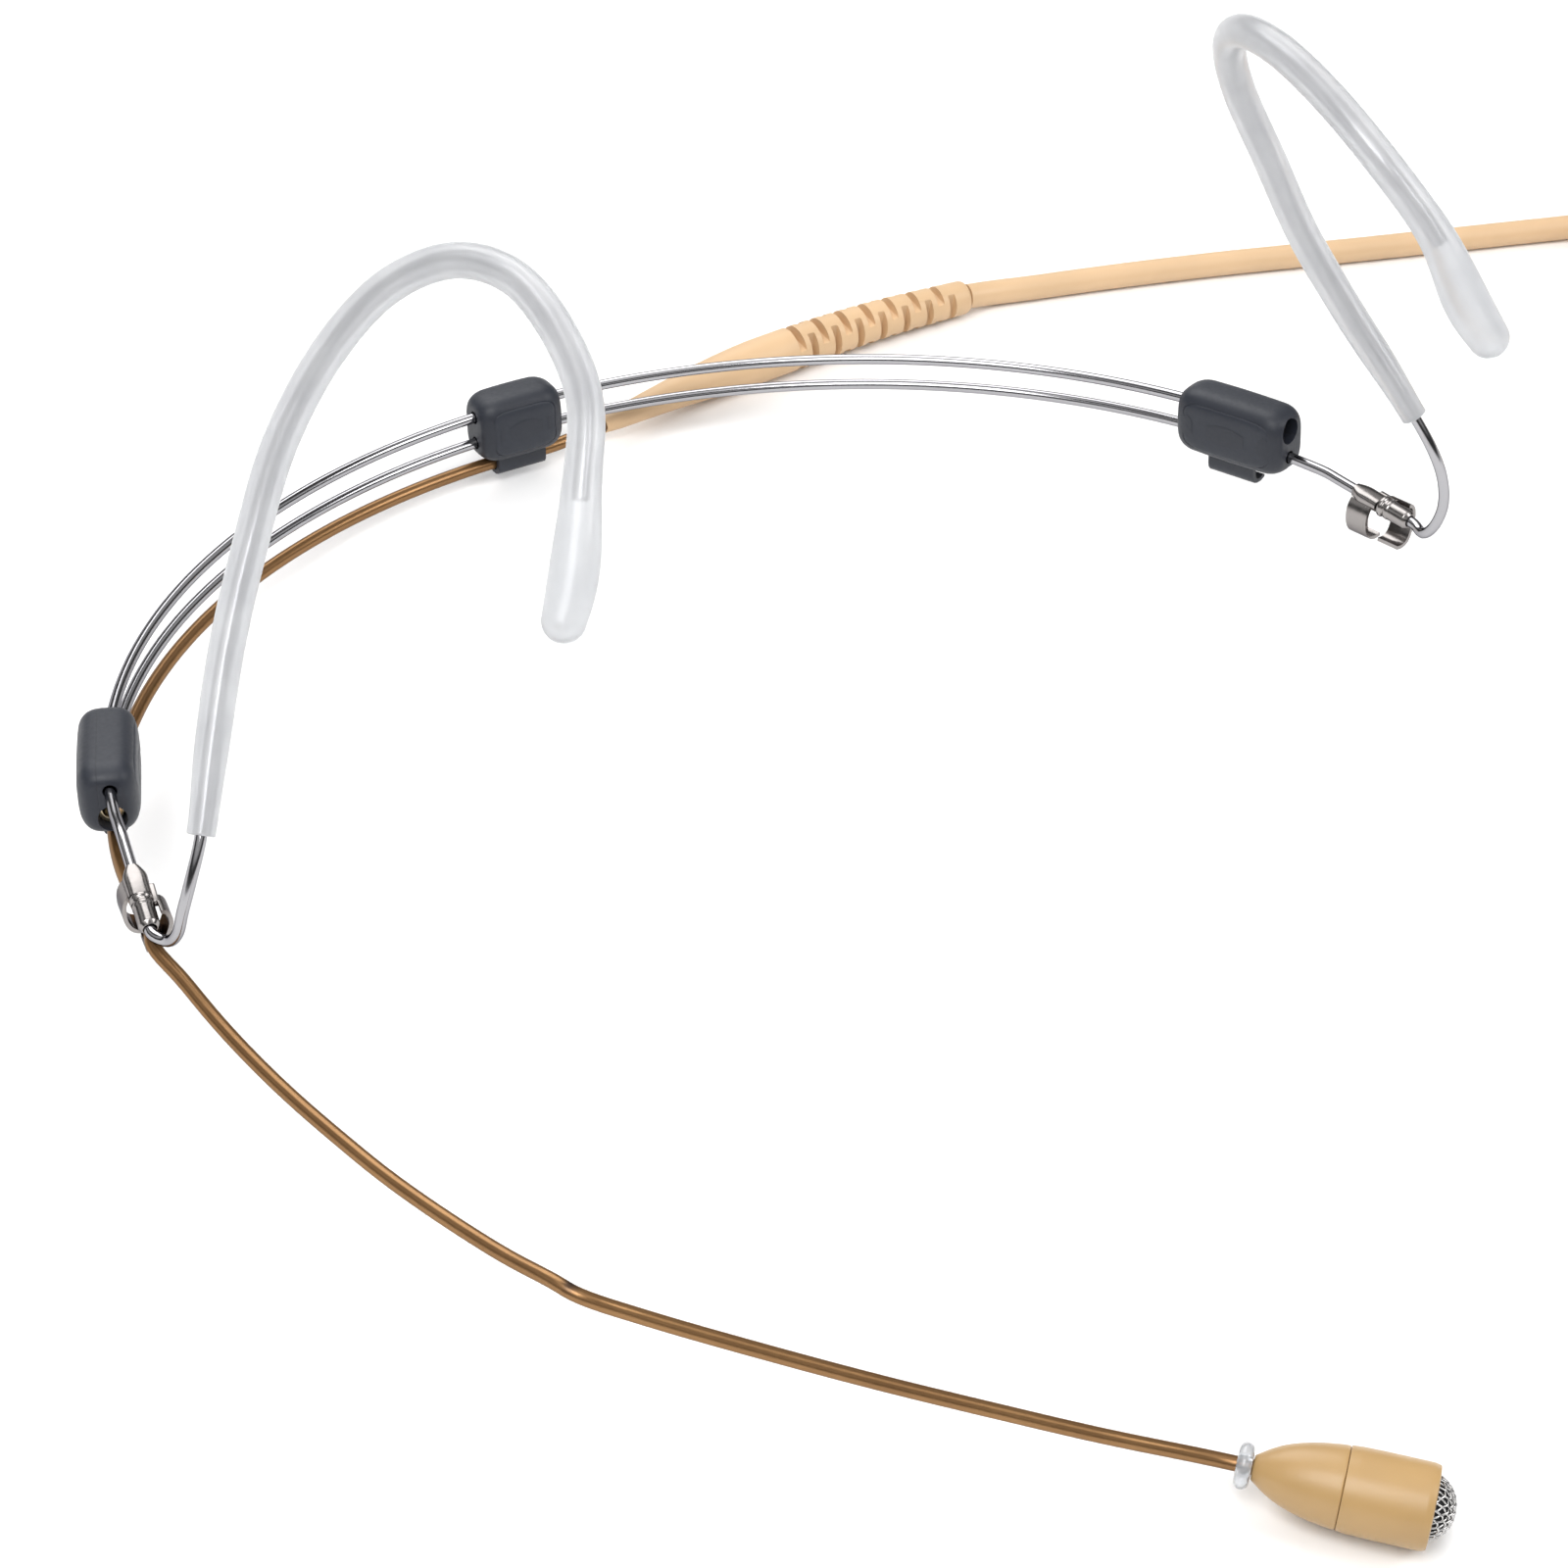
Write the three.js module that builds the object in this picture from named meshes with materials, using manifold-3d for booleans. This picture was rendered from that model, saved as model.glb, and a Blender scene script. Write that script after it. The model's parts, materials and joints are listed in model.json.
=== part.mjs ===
// Headset microphone: double-wire neckband, two ear hooks, clip-in boom with a capsule, and a cord.
// Millimetres, +Z up. The band is drawn flat around its own centre and then tilted nose down, so
// that the capsule and the strain relief both rest on the table, where the cord lies.
import * as THREE from 'three';
import { mergeVertices } from 'three/addons/utils/BufferGeometryUtils.js';
import Module from 'manifold-3d';

const wasm = await Module();
wasm.setup();

// ---- driving dimensions ----
const ORIGIN = [-0.07, -13.24];             // table point under the part's middle, from the band's centre
const TILT = THREE.MathUtils.degToRad(10.7);
const BAND_HEIGHT = 21.2;           // band centre above the table
const BAND_R = 75;                  // centre line of both band wires and of the boom's rear part
const WIRE_R = 0.6;
const WIRE_Z = 1.625;               // each band wire above or below the band's mid plane
const HOLE_R = 0.76;                // running hole for a band wire
const BOOM_R = 0.75;
const BOOM_Z = -4.8;                // boom under the band
const CLAMP = { deep: 5.4, high: 7, corner: 1.7, bevel: 0.6 };
const SIDE_CLAMP_LONG = 14;
const MIDDLE_CLAMP_LONG = 10.2;
const CLIP = { inner: 0.98, outer: 1.6, long: 6 };
const COVER = { high: 4.9, thick: 0.7, recess: 0.6, gap: 0.1 };
const COUNTERBORE = { r: 1.2, deep: 6.5 };
const FERRULE = { outer: 1.05, inner: 0.66, long: 3.6 };
const DROOP = { boom_side: 16.3, far_side: 6.5 };   // degrees each bracket points down, forward
const CHANNEL_Z = { boom_side: -5.2, far_side: -3.9 };   // claw channel below the bracket's wire
const LEAF = { from: 4.3, to: 8, half: 1.2, thick: 1.7 };
const BARREL = { from: 8.3, long: 4, outer: 1.1, inner: 0.68 };
const CLAW = { thick: 0.4, long: 3, rear: 4.6, front: 4.9 };
const TUBE_R = 1.75;                // silicone sleeve on an ear hook
const BULB_R = 2.35;
const RELIEF_LONG = 51.6;
const CORD_R = 1.5;
const COIL = { mid: 18, r: 6.4, at: [163.5, 36.5] };
const PLUG_AT = [193.6, 20];

const DEG = Math.PI / 180;
const LEFT_BEND = 168.8 * DEG;      // where each band wire leaves the circle for its bracket
const RIGHT_BEND = 13.7 * DEG;
const LEFT_CLAMP = 156.8 * DEG;
const RIGHT_CLAMP = 23.2 * DEG;
const MIDDLE_CLAMP = 90 * DEG;
const BOOM_START = 86.5 * DEG;      // where the boom leaves the band circle for the strain relief
const BOOM_RISE = { from: 161 * DEG, to: 173 * DEG, by: 1.2 };   // up into the bracket's claws

// ---- helpers ----
const v = (x, y, z) => new THREE.Vector3(x, y, z);

function toManifold(geometry) {
  const bare = geometry.clone();
  bare.deleteAttribute('normal');
  bare.deleteAttribute('uv');
  const merged = mergeVertices(bare, 1e-4);
  return new wasm.Manifold(new wasm.Mesh({
    numProp: 3,
    vertProperties: new Float32Array(merged.attributes.position.array),
    triVerts: new Uint32Array(merged.index.array),
  }));
}

function toGeometry(manifold) {
  const mesh = manifold.getMesh();
  const geometry = new THREE.BufferGeometry();
  geometry.setAttribute('position', new THREE.BufferAttribute(mesh.vertProperties, 3));
  geometry.setIndex(new THREE.BufferAttribute(mesh.triVerts, 1));
  geometry.computeVertexNormals();
  return geometry;
}

function cut(base, ...tools) {
  let result = toManifold(base);
  for (const tool of tools) result = result.subtract(toManifold(tool));
  return toGeometry(result);
}

function join(...parts) {
  let result = toManifold(parts[0]);
  for (const part of parts.slice(1)) result = result.add(toManifold(part));
  return toGeometry(result);
}

function steel(color, roughness) {
  return new THREE.MeshStandardMaterial({ color, roughness, metalness: 1 });
}

function plastic(color, roughness) {
  return new THREE.MeshStandardMaterial({ color, roughness, metalness: 0 });
}

function part(name, geometry, material) {
  const mesh = new THREE.Mesh(geometry, material);
  mesh.name = name;
  return mesh;
}

function circle(r) {
  return new THREE.Shape().absarc(0, 0, r, 0, Math.PI * 2);
}

function sweep(curve, r, sides, steps) {
  return new THREE.ExtrudeGeometry(circle(r), {
    extrudePath: curve, steps, curveSegments: sides, bevelEnabled: false,
  });
}

class BandArc extends THREE.Curve {
  constructor(from, to, z) {
    super();
    Object.assign(this, { from, to, z });
  }
  getPoint(t, target = new THREE.Vector3()) {
    const a = this.from + (this.to - this.from) * t;
    return target.set(BAND_R * Math.cos(a), BAND_R * Math.sin(a), this.z);
  }
}

const spline = (points) => new THREE.CatmullRomCurve3(points, false, 'centripetal');

// Lathe about +Y from [radius, height] pairs, turned to run along +X
function turned(profile, segments) {
  const geometry = new THREE.LatheGeometry(profile.map(([r, h]) => new THREE.Vector2(r, h)), segments);
  return geometry.rotateZ(-Math.PI / 2);
}

function rounded(w, h, r) {
  const s = new THREE.Shape();
  s.moveTo(-w / 2 + r, -h / 2);
  s.lineTo(w / 2 - r, -h / 2);
  s.absarc(w / 2 - r, -h / 2 + r, r, -Math.PI / 2, 0);
  s.absarc(w / 2 - r, h / 2 - r, r, 0, Math.PI / 2);
  s.absarc(-w / 2 + r, h / 2 - r, r, Math.PI / 2, Math.PI);
  s.absarc(-w / 2 + r, -h / 2 + r, r, Math.PI, Math.PI * 1.5);
  return s;
}

// A flat strip bent through [x, z] points, as a closed outline
function strip(points, thick) {
  const line = new THREE.CatmullRomCurve3(points.map(([x, z]) => v(x, z, 0)), false, 'centripetal');
  const left = [];
  const right = [];
  const steps = 12;
  for (let i = 0; i <= steps; i += 1) {
    const p = line.getPointAt(i / steps);
    const t = line.getTangentAt(i / steps);
    left.push(new THREE.Vector2(p.x - t.y * thick / 2, p.y + t.x * thick / 2));
    right.push(new THREE.Vector2(p.x + t.y * thick / 2, p.y - t.x * thick / 2));
  }
  return new THREE.Shape(left.concat(right.reverse()));
}

// Extrude an outline drawn in X and Z along Y, centred on y
function alongY(shape, long, y, curveSegments = 4, bevel = 0) {
  const geometry = new THREE.ExtrudeGeometry(shape, {
    depth: long - 2 * bevel, bevelEnabled: bevel > 0, bevelThickness: bevel, bevelSize: bevel,
    bevelOffset: -bevel, bevelSegments: 2, curveSegments,
  });
  return geometry.rotateX(Math.PI / 2).translate(0, y + long / 2 - bevel, 0);
}

// ---- band clamps: drawn at angle 0 of the band circle, then turned to their place ----
function clampBody(long, counterboreSide) {
  const block = alongY(rounded(CLAMP.deep, CLAMP.high, CLAMP.corner), long, 0, 3, CLAMP.bevel)
    .translate(BAND_R, 0, 0);
  const open = 50 * DEG;
  const clip = new THREE.Shape();
  clip.absarc(0, 0, CLIP.outer, open, Math.PI * 2 - open, false);
  clip.absarc(0, 0, CLIP.inner, Math.PI * 2 - open, open, true);
  const neck = new THREE.BoxGeometry(1.6, CLIP.long, 1).translate(BAND_R - 1, 0, -3.7);
  const hook = alongY(clip, CLIP.long, 0, 12).translate(BAND_R, 0, BOOM_Z);
  const span = 9 * DEG;
  const tools = [1, -1].map((side) => sweep(new BandArc(-span, span, side * WIRE_Z), HOLE_R, 10, 10));
  tools.push(sweep(new BandArc(-span, span, BOOM_Z), CLIP.inner, 12, 10));
  const recess = alongY(rounded(COVER.recess * 2, COVER.high + 0.2, 0.3), long - 2.8, 0)
    .translate(BAND_R - CLAMP.deep / 2, 0, 0);
  tools.push(recess);
  if (counterboreSide) {
    const end = long / 2 / BAND_R;
    const deep = COUNTERBORE.deep / BAND_R;
    const arc = counterboreSide > 0
      ? new BandArc(end - deep, end + 0.02, -WIRE_Z)
      : new BandArc(-end - 0.02, -end + deep, WIRE_Z);
    tools.push(sweep(arc, COUNTERBORE.r, 14, 4));
  }
  return cut(join(block, neck, hook), ...tools);
}

function clampCover(long) {
  return alongY(rounded(COVER.thick, COVER.high, 0.25), long - 3, 0)
    .translate(BAND_R - CLAMP.deep / 2 + COVER.recess - COVER.gap - COVER.thick / 2, 0, 0);
}

function clamp(prefix, long, angle, counterboreSide) {
  const group = new THREE.Group();
  group.rotation.z = angle;
  group.add(part(`${prefix}_clamp_body`, clampBody(long, counterboreSide), plastic(0x2d323c, 0.55)));
  group.add(part(`${prefix}_clamp_cover`, clampCover(long), plastic(0x333843, 0.5)));
  if (counterboreSide) {
    const { outer, inner, long: tube } = FERRULE;
    const ring = turned([[inner, 0], [outer, 0], [outer, tube], [inner, tube], [inner, 0]], 14);
    const y = counterboreSide * (long / 2 - COUNTERBORE.deep / 2 - 0.6);
    ring.rotateZ(Math.PI / 2).translate(Math.sqrt(BAND_R ** 2 - y ** 2), y - tube / 2, -counterboreSide * WIRE_Z);
    group.add(part(`${prefix}_clamp_ferrule`, ring, steel(0xc9b48a, 0.3)));
  }
  return group;
}

// ---- brackets: drawn pointing along -Y from the bend, X to the wearer's left ----
function bracketPose(angle, z) {
  const side = Math.cos(angle) > 0 ? 1 : -1;
  const yaw = side > 0 ? angle : angle - Math.PI;
  const group = new THREE.Group();
  group.position.set(BAND_R * Math.cos(angle), BAND_R * Math.sin(angle), z);
  group.rotation.z = yaw;
  return group;
}

function clawOutline(side, top, low) {
  const points = [[0.3, top], [0.95, top - 0.25], [1.6, top - 1.1], [1.72, (top + low) / 2],
    [1.6, low + 0.1], [1.1, low - 0.95], [0.25, low - 1.28], [-0.55, low - 1.2]];
  return strip(points.map(([x, z]) => [side * x, z]), CLAW.thick);
}

function bracketGeometry(prefix) {
  const droop = -DROOP[prefix] * DEG;
  const leafOutline = new THREE.Shape();
  const { from, to, half } = LEAF;
  leafOutline.moveTo(-0.9, -from);
  leafOutline.bezierCurveTo(-half - 0.2, -from - 0.9, -half - 0.1, -from - 2.2, -half + 0.1, -to);
  leafOutline.lineTo(half - 0.1, -to);
  leafOutline.bezierCurveTo(half + 0.1, -from - 2.2, half + 0.2, -from - 0.9, 0.9, -from);
  const leaf = new THREE.ExtrudeGeometry(leafOutline, {
    depth: LEAF.thick - 0.6, bevelThickness: 0.3, bevelSize: 0.3, bevelOffset: -0.3,
    bevelSegments: 1, curveSegments: 5,
  }).translate(0, 0, -LEAF.thick / 2 + 0.3);
  leaf.rotateX(-droop);
  const claws = [[-1, CLAW.rear], [1, CLAW.front]].map(([side, y]) => {
    const top = (y + CLAW.long / 2) * Math.tan(droop) - 0.1;
    return alongY(clawOutline(side, top, CHANNEL_Z[prefix]), CLAW.long, -y - CLAW.long / 2)
      .translate(0.1, 0, 0);
  });
  const wirePath = new THREE.LineCurve3(v(0, 1, 0.24), v(0, -9.5, -9.5 * Math.tan(-droop)));
  return cut(join(leaf, ...claws), sweep(wirePath, 0.68, 10, 1));
}

function barrelGeometry(droop) {
  const { outer, inner, long, from } = BARREL;
  const lip = outer + 0.12;
  return turned([[inner, 0], [lip, 0], [lip, 0.5], [outer, 0.7], [outer, long - 0.3],
    [outer - 0.2, long], [inner, long], [inner, 0]], 16)
    .rotateZ(-Math.PI / 2).translate(0, -from, 0).rotateX(droop * DEG);
}

function bracket(prefix, angle, z) {
  const group = bracketPose(angle, z);
  group.add(part(`${prefix}_bracket`, bracketGeometry(prefix), steel(0x8d8a8c, 0.35)));
  group.add(part(`${prefix}_barrel`, barrelGeometry(DROOP[prefix]), steel(0x96938f, 0.3)));
  return group;
}

// point at a distance along the drooping bracket line, in band coordinates
function bracketPoint(angle, z, along) {
  const pose = bracketPose(angle, z);
  pose.updateMatrix();
  const d = DROOP[Math.cos(angle) > 0 ? 'far_side' : 'boom_side'] * DEG;
  return v(0, -along * Math.cos(d), -along * Math.sin(d)).applyMatrix4(pose.matrix);
}

// ---- band wires: an arc with a straight end in the bracket's barrel ----
function bandWire(name, fromAngle, toAngle, z) {
  const points = [];
  const steps = 34;
  for (let i = 0; i <= steps; i += 1) {
    points.push(new BandArc(fromAngle, toAngle, z).getPoint(i / steps));
  }
  for (const along of [2.5, 5.5, BARREL.from + 1.6]) points.push(bracketPoint(toAngle, z, along));
  return part(name, pipe(points, WIRE_R, 8), steel(0xb9babd, 0.18));
}

// A round pipe through given points, one ring of sides at each point, mitred
function pipe(points, radius, sides) {
  const radii = Array.isArray(radius) ? radius : points.map(() => radius);
  const tangents = points.map((p, i) => points[Math.min(i + 1, points.length - 1)].clone()
    .sub(points[Math.max(i - 1, 0)]).normalize());
  let normal = v(0, 0, 1).cross(tangents[0]).normalize();
  const positions = [];
  points.forEach((p, i) => {
    normal.sub(tangents[i].clone().multiplyScalar(normal.dot(tangents[i]))).normalize();
    const binormal = tangents[i].clone().cross(normal);
    for (let k = 0; k < sides; k += 1) {
      const a = 2 * Math.PI * k / sides;
      const q = p.clone().addScaledVector(normal, radii[i] * Math.cos(a))
        .addScaledVector(binormal, radii[i] * Math.sin(a));
      positions.push(q.x, q.y, q.z);
    }
  });
  const faces = [];
  const last = points.length - 1;
  for (let i = 0; i < last; i += 1) {
    for (let k = 0; k < sides; k += 1) {
      const a = i * sides + k;
      const b = i * sides + (k + 1) % sides;
      faces.push(a, b, b + sides, a, b + sides, a + sides);
    }
  }
  for (let k = 1; k + 1 < sides; k += 1) {
    faces.push(0, k + 1, k);
    faces.push(last * sides, last * sides + k, last * sides + k + 1);
  }
  const geometry = new THREE.BufferGeometry();
  geometry.setAttribute('position', new THREE.Float32BufferAttribute(positions, 3));
  geometry.setIndex(faces);
  geometry.computeVertexNormals();
  return geometry;
}

// ---- ear hooks: route measured from the barrel's mouth, X inward ----
const HOOK_ROUTE = [[0.8, -3.8, -0.4], [1.2, -5.4, 1.5],
  [1.6, -6.2, 4.5], [2.8, -5.8, 8], [4.5, -4.5, 11.5], [8, -0.5, 18], [12.5, 4.5, 25.5],
  [17.5, 8.5, 33.5], [22.5, 11, 42], [28.5, 11.5, 50], [34, 9, 56.5], [38.5, 3.5, 60.5],
  [41, -4, 61.5], [41.5, -12, 59.5], [40.5, -19.5, 55.5], [37, -25, 49.5], [34, -28.5, 43],
  [31, -31, 38.5]];
const HOOK_TUBE_FROM = 0.165;       // share of the route where the sleeve starts
const HOOK_WIRE_TO = 0.9;

function hook(prefix, angle, z, side, turn) {
  const group = new THREE.Group();
  const mouth = BARREL.from + BARREL.long;
  const start = bracketPoint(angle, z, mouth);
  const m = new THREE.Matrix4().makeRotationFromEuler(new THREE.Euler(...turn, 'YXZ'));
  const stub = [mouth - 1.6, mouth - 0.4, mouth + 0.6].map((along) => bracketPoint(angle, z, along));
  const route = HOOK_ROUTE.map(([x, y, up]) => v(x, y, up).applyMatrix4(m))
    .map((p) => v(-side * p.x, p.y, p.z).add(start));
  const curve = spline([...stub, ...route]);
  const sample = (from, to, n) => Array.from({ length: n + 1 },
    (_, i) => curve.getPointAt(from + (to - from) * i / n));
  const wire = sample(0, HOOK_TUBE_FROM, 9).concat(sample(HOOK_TUBE_FROM, HOOK_WIRE_TO, 24).slice(1));
  group.add(part(`${prefix}_hook_wire`, pipe(wire, WIRE_R, 8), steel(0xb9babd, 0.18)));
  const shape = sample(HOOK_TUBE_FROM, 0.985, 28);
  const radii = shape.map((_, i) => {
    const u = i / 28;
    const neck = 0.35 * Math.exp(-((u / 0.06) ** 2));
    const bulb = (BULB_R - TUBE_R) * Math.exp(-(((u - 0.985) / 0.06) ** 2));
    return TUBE_R - neck + bulb;
  });
  const tip = shape[28].clone();
  const ahead = curve.getTangentAt(1);
  const caps = [[0.9, 0.85], [1.7, 0.5]];
  for (const [step, share] of caps) {
    shape.push(tip.clone().addScaledVector(ahead, step));
    radii.push(BULB_R * share);
  }
  const bore = sample(HOOK_TUBE_FROM - 0.01, HOOK_WIRE_TO + 0.006, 26);
  const sleeve = cut(pipe(shape, radii, 12), pipe(bore, WIRE_R + 0.12, 8));
  group.add(part(`${prefix}_hook_tube`, sleeve, plastic(0xe6e9ea, 0.35)));
  return group;
}

// ---- boom: rear part on the band circle, then bent down and forward to the capsule ----
const RELIEF_ENTRY = [[21.5, 75.4, 2.75], [18, 74.78, 2.75], [14.5, 74.13, 2.75], [11.6, 73.6, 2.75]];
const BOOM_FRONT = [[-75.9, 2.5, -3.6], [-75.1, -2.5, -4.9], [-74.2, -8, -6.6], [-73.2, -14, -7.9],
  [-72, -20.5, -8.9], [-70.6, -27.5, -9.6], [-68.9, -34.5, -10.4], [-66.9, -42, -10.8],
  [-64.5, -50, -11], [-62.6, -56, -10.7], [-61.2, -58.5, -11.3], [-56, -61.3, -14.1],
  [-46.7, -66.4, -18.4], [-37.3, -71.5, -22.5], [-27.8, -76.5, -26.4], [-19.5, -81, -29.6]];
const CAPSULE_NOSE = [-7.4, -92.7, 4.5];   // on the table frame
const CAPSULE_HEADING = -42.6 * DEG;

function toBand(x, y, z) {
  return v(x, y, z - BAND_HEIGHT).applyAxisAngle(v(1, 0, 0), TILT);
}

function boomTube() {
  const points = RELIEF_ENTRY.map((p) => toBand(...p));
  const steps = 28;
  for (let i = 0; i <= steps; i += 1) {
    const a = BOOM_START + (175.5 * DEG - BOOM_START) * i / steps;
    const rise = THREE.MathUtils.smoothstep(a, BOOM_RISE.from, BOOM_RISE.to) * BOOM_RISE.by;
    points.push(v(BAND_R * Math.cos(a), BAND_R * Math.sin(a), BOOM_Z + rise));
  }
  points.push(...BOOM_FRONT.map((p) => v(...p)));
  const nose = v(...CAPSULE_NOSE);
  const ahead = v(Math.cos(CAPSULE_HEADING), Math.sin(CAPSULE_HEADING), 0);
  for (const step of [-3.5, 2.2]) {
    const p = nose.clone().addScaledVector(ahead, step);
    points.push(toBand(p.x, p.y, p.z));
  }
  return part('boom_tube', pipe(points, BOOM_R, 8), steel(0x8a5d3b, 0.3));
}

// ---- capsule: drawn along +X from its nose ----
function capsule() {
  const group = new THREE.Group();
  group.position.set(...CAPSULE_NOSE);
  group.rotation.z = CAPSULE_HEADING;
  const tan = () => plastic(0xc29a62, 0.4);
  const rear = turned([[0.82, 0], [1.15, 0], [1.5, 0.5], [2.5, 2.1], [3.25, 4.0], [3.75, 6.2], [3.98, 8.5],
    [3.4, 8.5], [3.2, 6.2], [2.7, 4.2], [1.9, 3.0], [0.82, 2.4], [0.82, 0]], 28);
  const front = turned([[3.55, 8.7], [4.05, 8.7], [4.15, 9.4], [4.15, 16.4], [3.95, 17.0],
    [3.72, 17.0], [3.72, 15.9], [3.55, 15.9], [3.55, 8.7]], 28);
  const grille = turned([[0, 18.15], [1.2, 18.0], [2.2, 17.5], [3.0, 16.9], [3.3, 16.0], [3.62, 16.0],
    [3.62, 16.3], [3.3, 17.1], [2.5, 17.9], [1.3, 18.45], [0, 18.6]], 24);
  const element = turned([[0, 10.2], [3.0, 10.2], [3.4, 10.6], [3.4, 14.6], [3.0, 15.0], [0, 15.0]], 24);
  const pcb = turned([[0, 9.0], [3.35, 9.0], [3.35, 9.8], [0, 9.8]], 20);
  group.add(part('capsule_rear_shell', rear, tan()));
  group.add(part('capsule_front_sleeve', front, tan()));
  group.add(part('capsule_grille', grille, steel(0xa9a7a2, 0.45)));
  group.add(part('capsule_element', element, steel(0xb0afa8, 0.4)));
  group.add(part('capsule_contact_disc', pcb, plastic(0x2f5d3a, 0.5)));
  const ring = new THREE.Shape().absarc(1.46, 0, 0.58, 0, Math.PI * 2);
  const section = ring.getPoints(5).map((p) => [p.x, p.y - 0.75]);
  group.add(part('capsule_retaining_ring', turned(section, 20), plastic(0xe9ecec, 0.25)));
  return group;
}

// ---- strain relief: drawn straight along +X, slotted, then laid on its curve ----
const RELIEF_ROUTE = [[11.6, 73.6, 2.75], [24.0, 75.8, 2.75], [36.0, 77.2, 2.75], [50.0, 78.2, 2.75],
  [63.4, 78.5, 2.3]];

function strainRelief() {
  const profile = [[0.84, 0], [1.0, 0], [1.25, 2], [1.85, 10], [2.4, 17], [2.65, 22], [2.65, 26],
    [2.6, 30], [2.35, 40], [2.15, 48], [2.05, 51.2], [1.9, RELIEF_LONG], [0, RELIEF_LONG],
    [0, 14], [0.84, 14], [0.84, 0]];
  const body = turned(profile, 16);
  const slots = [];
  const count = 6;
  for (let i = 0; i < count; i += 1) {
    const x = 28.6 + i * 3.8;
    for (const side of [1, -1]) {
      slots.push(new THREE.BoxGeometry(1.2, 6, 2).translate(x, 0, side * 2.05));
      slots.push(new THREE.BoxGeometry(1.2, 2, 6).translate(x + 1.9, side * 2.05, 0));
    }
  }
  const geometry = cut(body, ...slots);
  const curve = spline(RELIEF_ROUTE.map((p) => v(...p)));
  const position = geometry.attributes.position;
  for (let i = 0; i < position.count; i += 1) {
    const u = Math.min(Math.max(position.getX(i) / RELIEF_LONG, 0), 1);
    const centre = curve.getPointAt(u);
    const ahead = curve.getTangentAt(u);
    const side = v(0, 0, 1).cross(ahead).normalize();
    const up = ahead.clone().cross(side);
    const p = centre.addScaledVector(side, position.getY(i)).addScaledVector(up, position.getZ(i));
    position.setXYZ(i, p.x, p.y, p.z);
  }
  geometry.computeVertexNormals();
  return part('strain_relief', geometry, plastic(0xd8bc92, 0.55));
}

// ---- cord, coil and plug, on the table ----
const CORD_ROUTE = [[63.8, 78.5, 2.25], [67.5, 78.4, 1.8], [72.3, 77.6, 1.6], [78.6, 76.4, 1.55],
  [84.8, 75.1, 1.55], [91.0, 73.7, 1.55], [97.3, 72.2, 1.55], [103.5, 70.6, 1.55], [109.7, 69.0, 1.55],
  [115.9, 67.4, 1.55], [122.3, 65.8, 1.55], [128.6, 64.2, 1.55], [135.0, 62.6, 1.55],
  [141.4, 61.0, 1.55], [146.0, 60.0, 1.55], [150.2, 59.2, 1.6]];

function cord() {
  const curve = spline(CORD_ROUTE.map((p) => v(...p)));
  const points = Array.from({ length: 17 }, (_, i) => curve.getPointAt(i / 16));
  return part('cord_lead', pipe(points, CORD_R, 8), plastic(0xd9bd95, 0.55));
}

function coil() {
  const outline = new THREE.Shape().absarc(COIL.mid, 0, COIL.r, 0, Math.PI * 2).getPoints(6);
  const ring = new THREE.LatheGeometry(outline, 32).rotateX(Math.PI / 2);
  ring.translate(COIL.at[0], COIL.at[1], COIL.r);
  return part('cord_coil', ring, plastic(0xd9bd95, 0.55));
}

function plug() {
  const group = new THREE.Group();
  group.position.set(PLUG_AT[0], PLUG_AT[1], 4.3);
  group.rotation.z = Math.PI / 2;
  const boot = turned([[0, 0], [1.9, 0], [2.3, 1], [2.9, 9], [2.9, 10.5], [0, 10.5]], 16);
  const shell = turned([[0, 10.8], [3.3, 10.8], [3.5, 11.2], [3.5, 19.6], [2.6, 20.0], [2.6, 26.6],
    [1.75, 26.6], [1.75, 27], [0, 27]], 20);
  const pin = turned([[0, 27.3], [1.75, 27.3], [1.75, 36.4], [1.2, 37.2], [1.35, 38.4], [1.6, 38.8],
    [0.4, 41.0], [0, 41.0]], 16);
  const ridges = new THREE.Shape();
  const teeth = 18;
  for (let i = 0; i < teeth * 2; i += 1) {
    const a = Math.PI * i / teeth;
    const r = i % 2 ? 4.3 : 4.0;
    if (i) ridges.lineTo(r * Math.cos(a), r * Math.sin(a));
    else ridges.moveTo(r, 0);
  }
  ridges.holes.push(new THREE.Path().absarc(0, 0, 2.72, 0, Math.PI * 2, true));
  const collar = new THREE.ExtrudeGeometry(ridges, { depth: 6, bevelEnabled: false, curveSegments: 16 })
    .rotateY(Math.PI / 2).translate(20.3, 0, 0);
  group.add(part('plug_boot', boot, plastic(0x1d1d1f, 0.5)));
  group.add(part('plug_shell', shell, steel(0x8f8f92, 0.3)));
  group.add(part('plug_collar', collar, steel(0x9c9c9f, 0.35)));
  group.add(part('plug_pin', pin, steel(0xcdb26a, 0.25)));
  return group;
}

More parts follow.
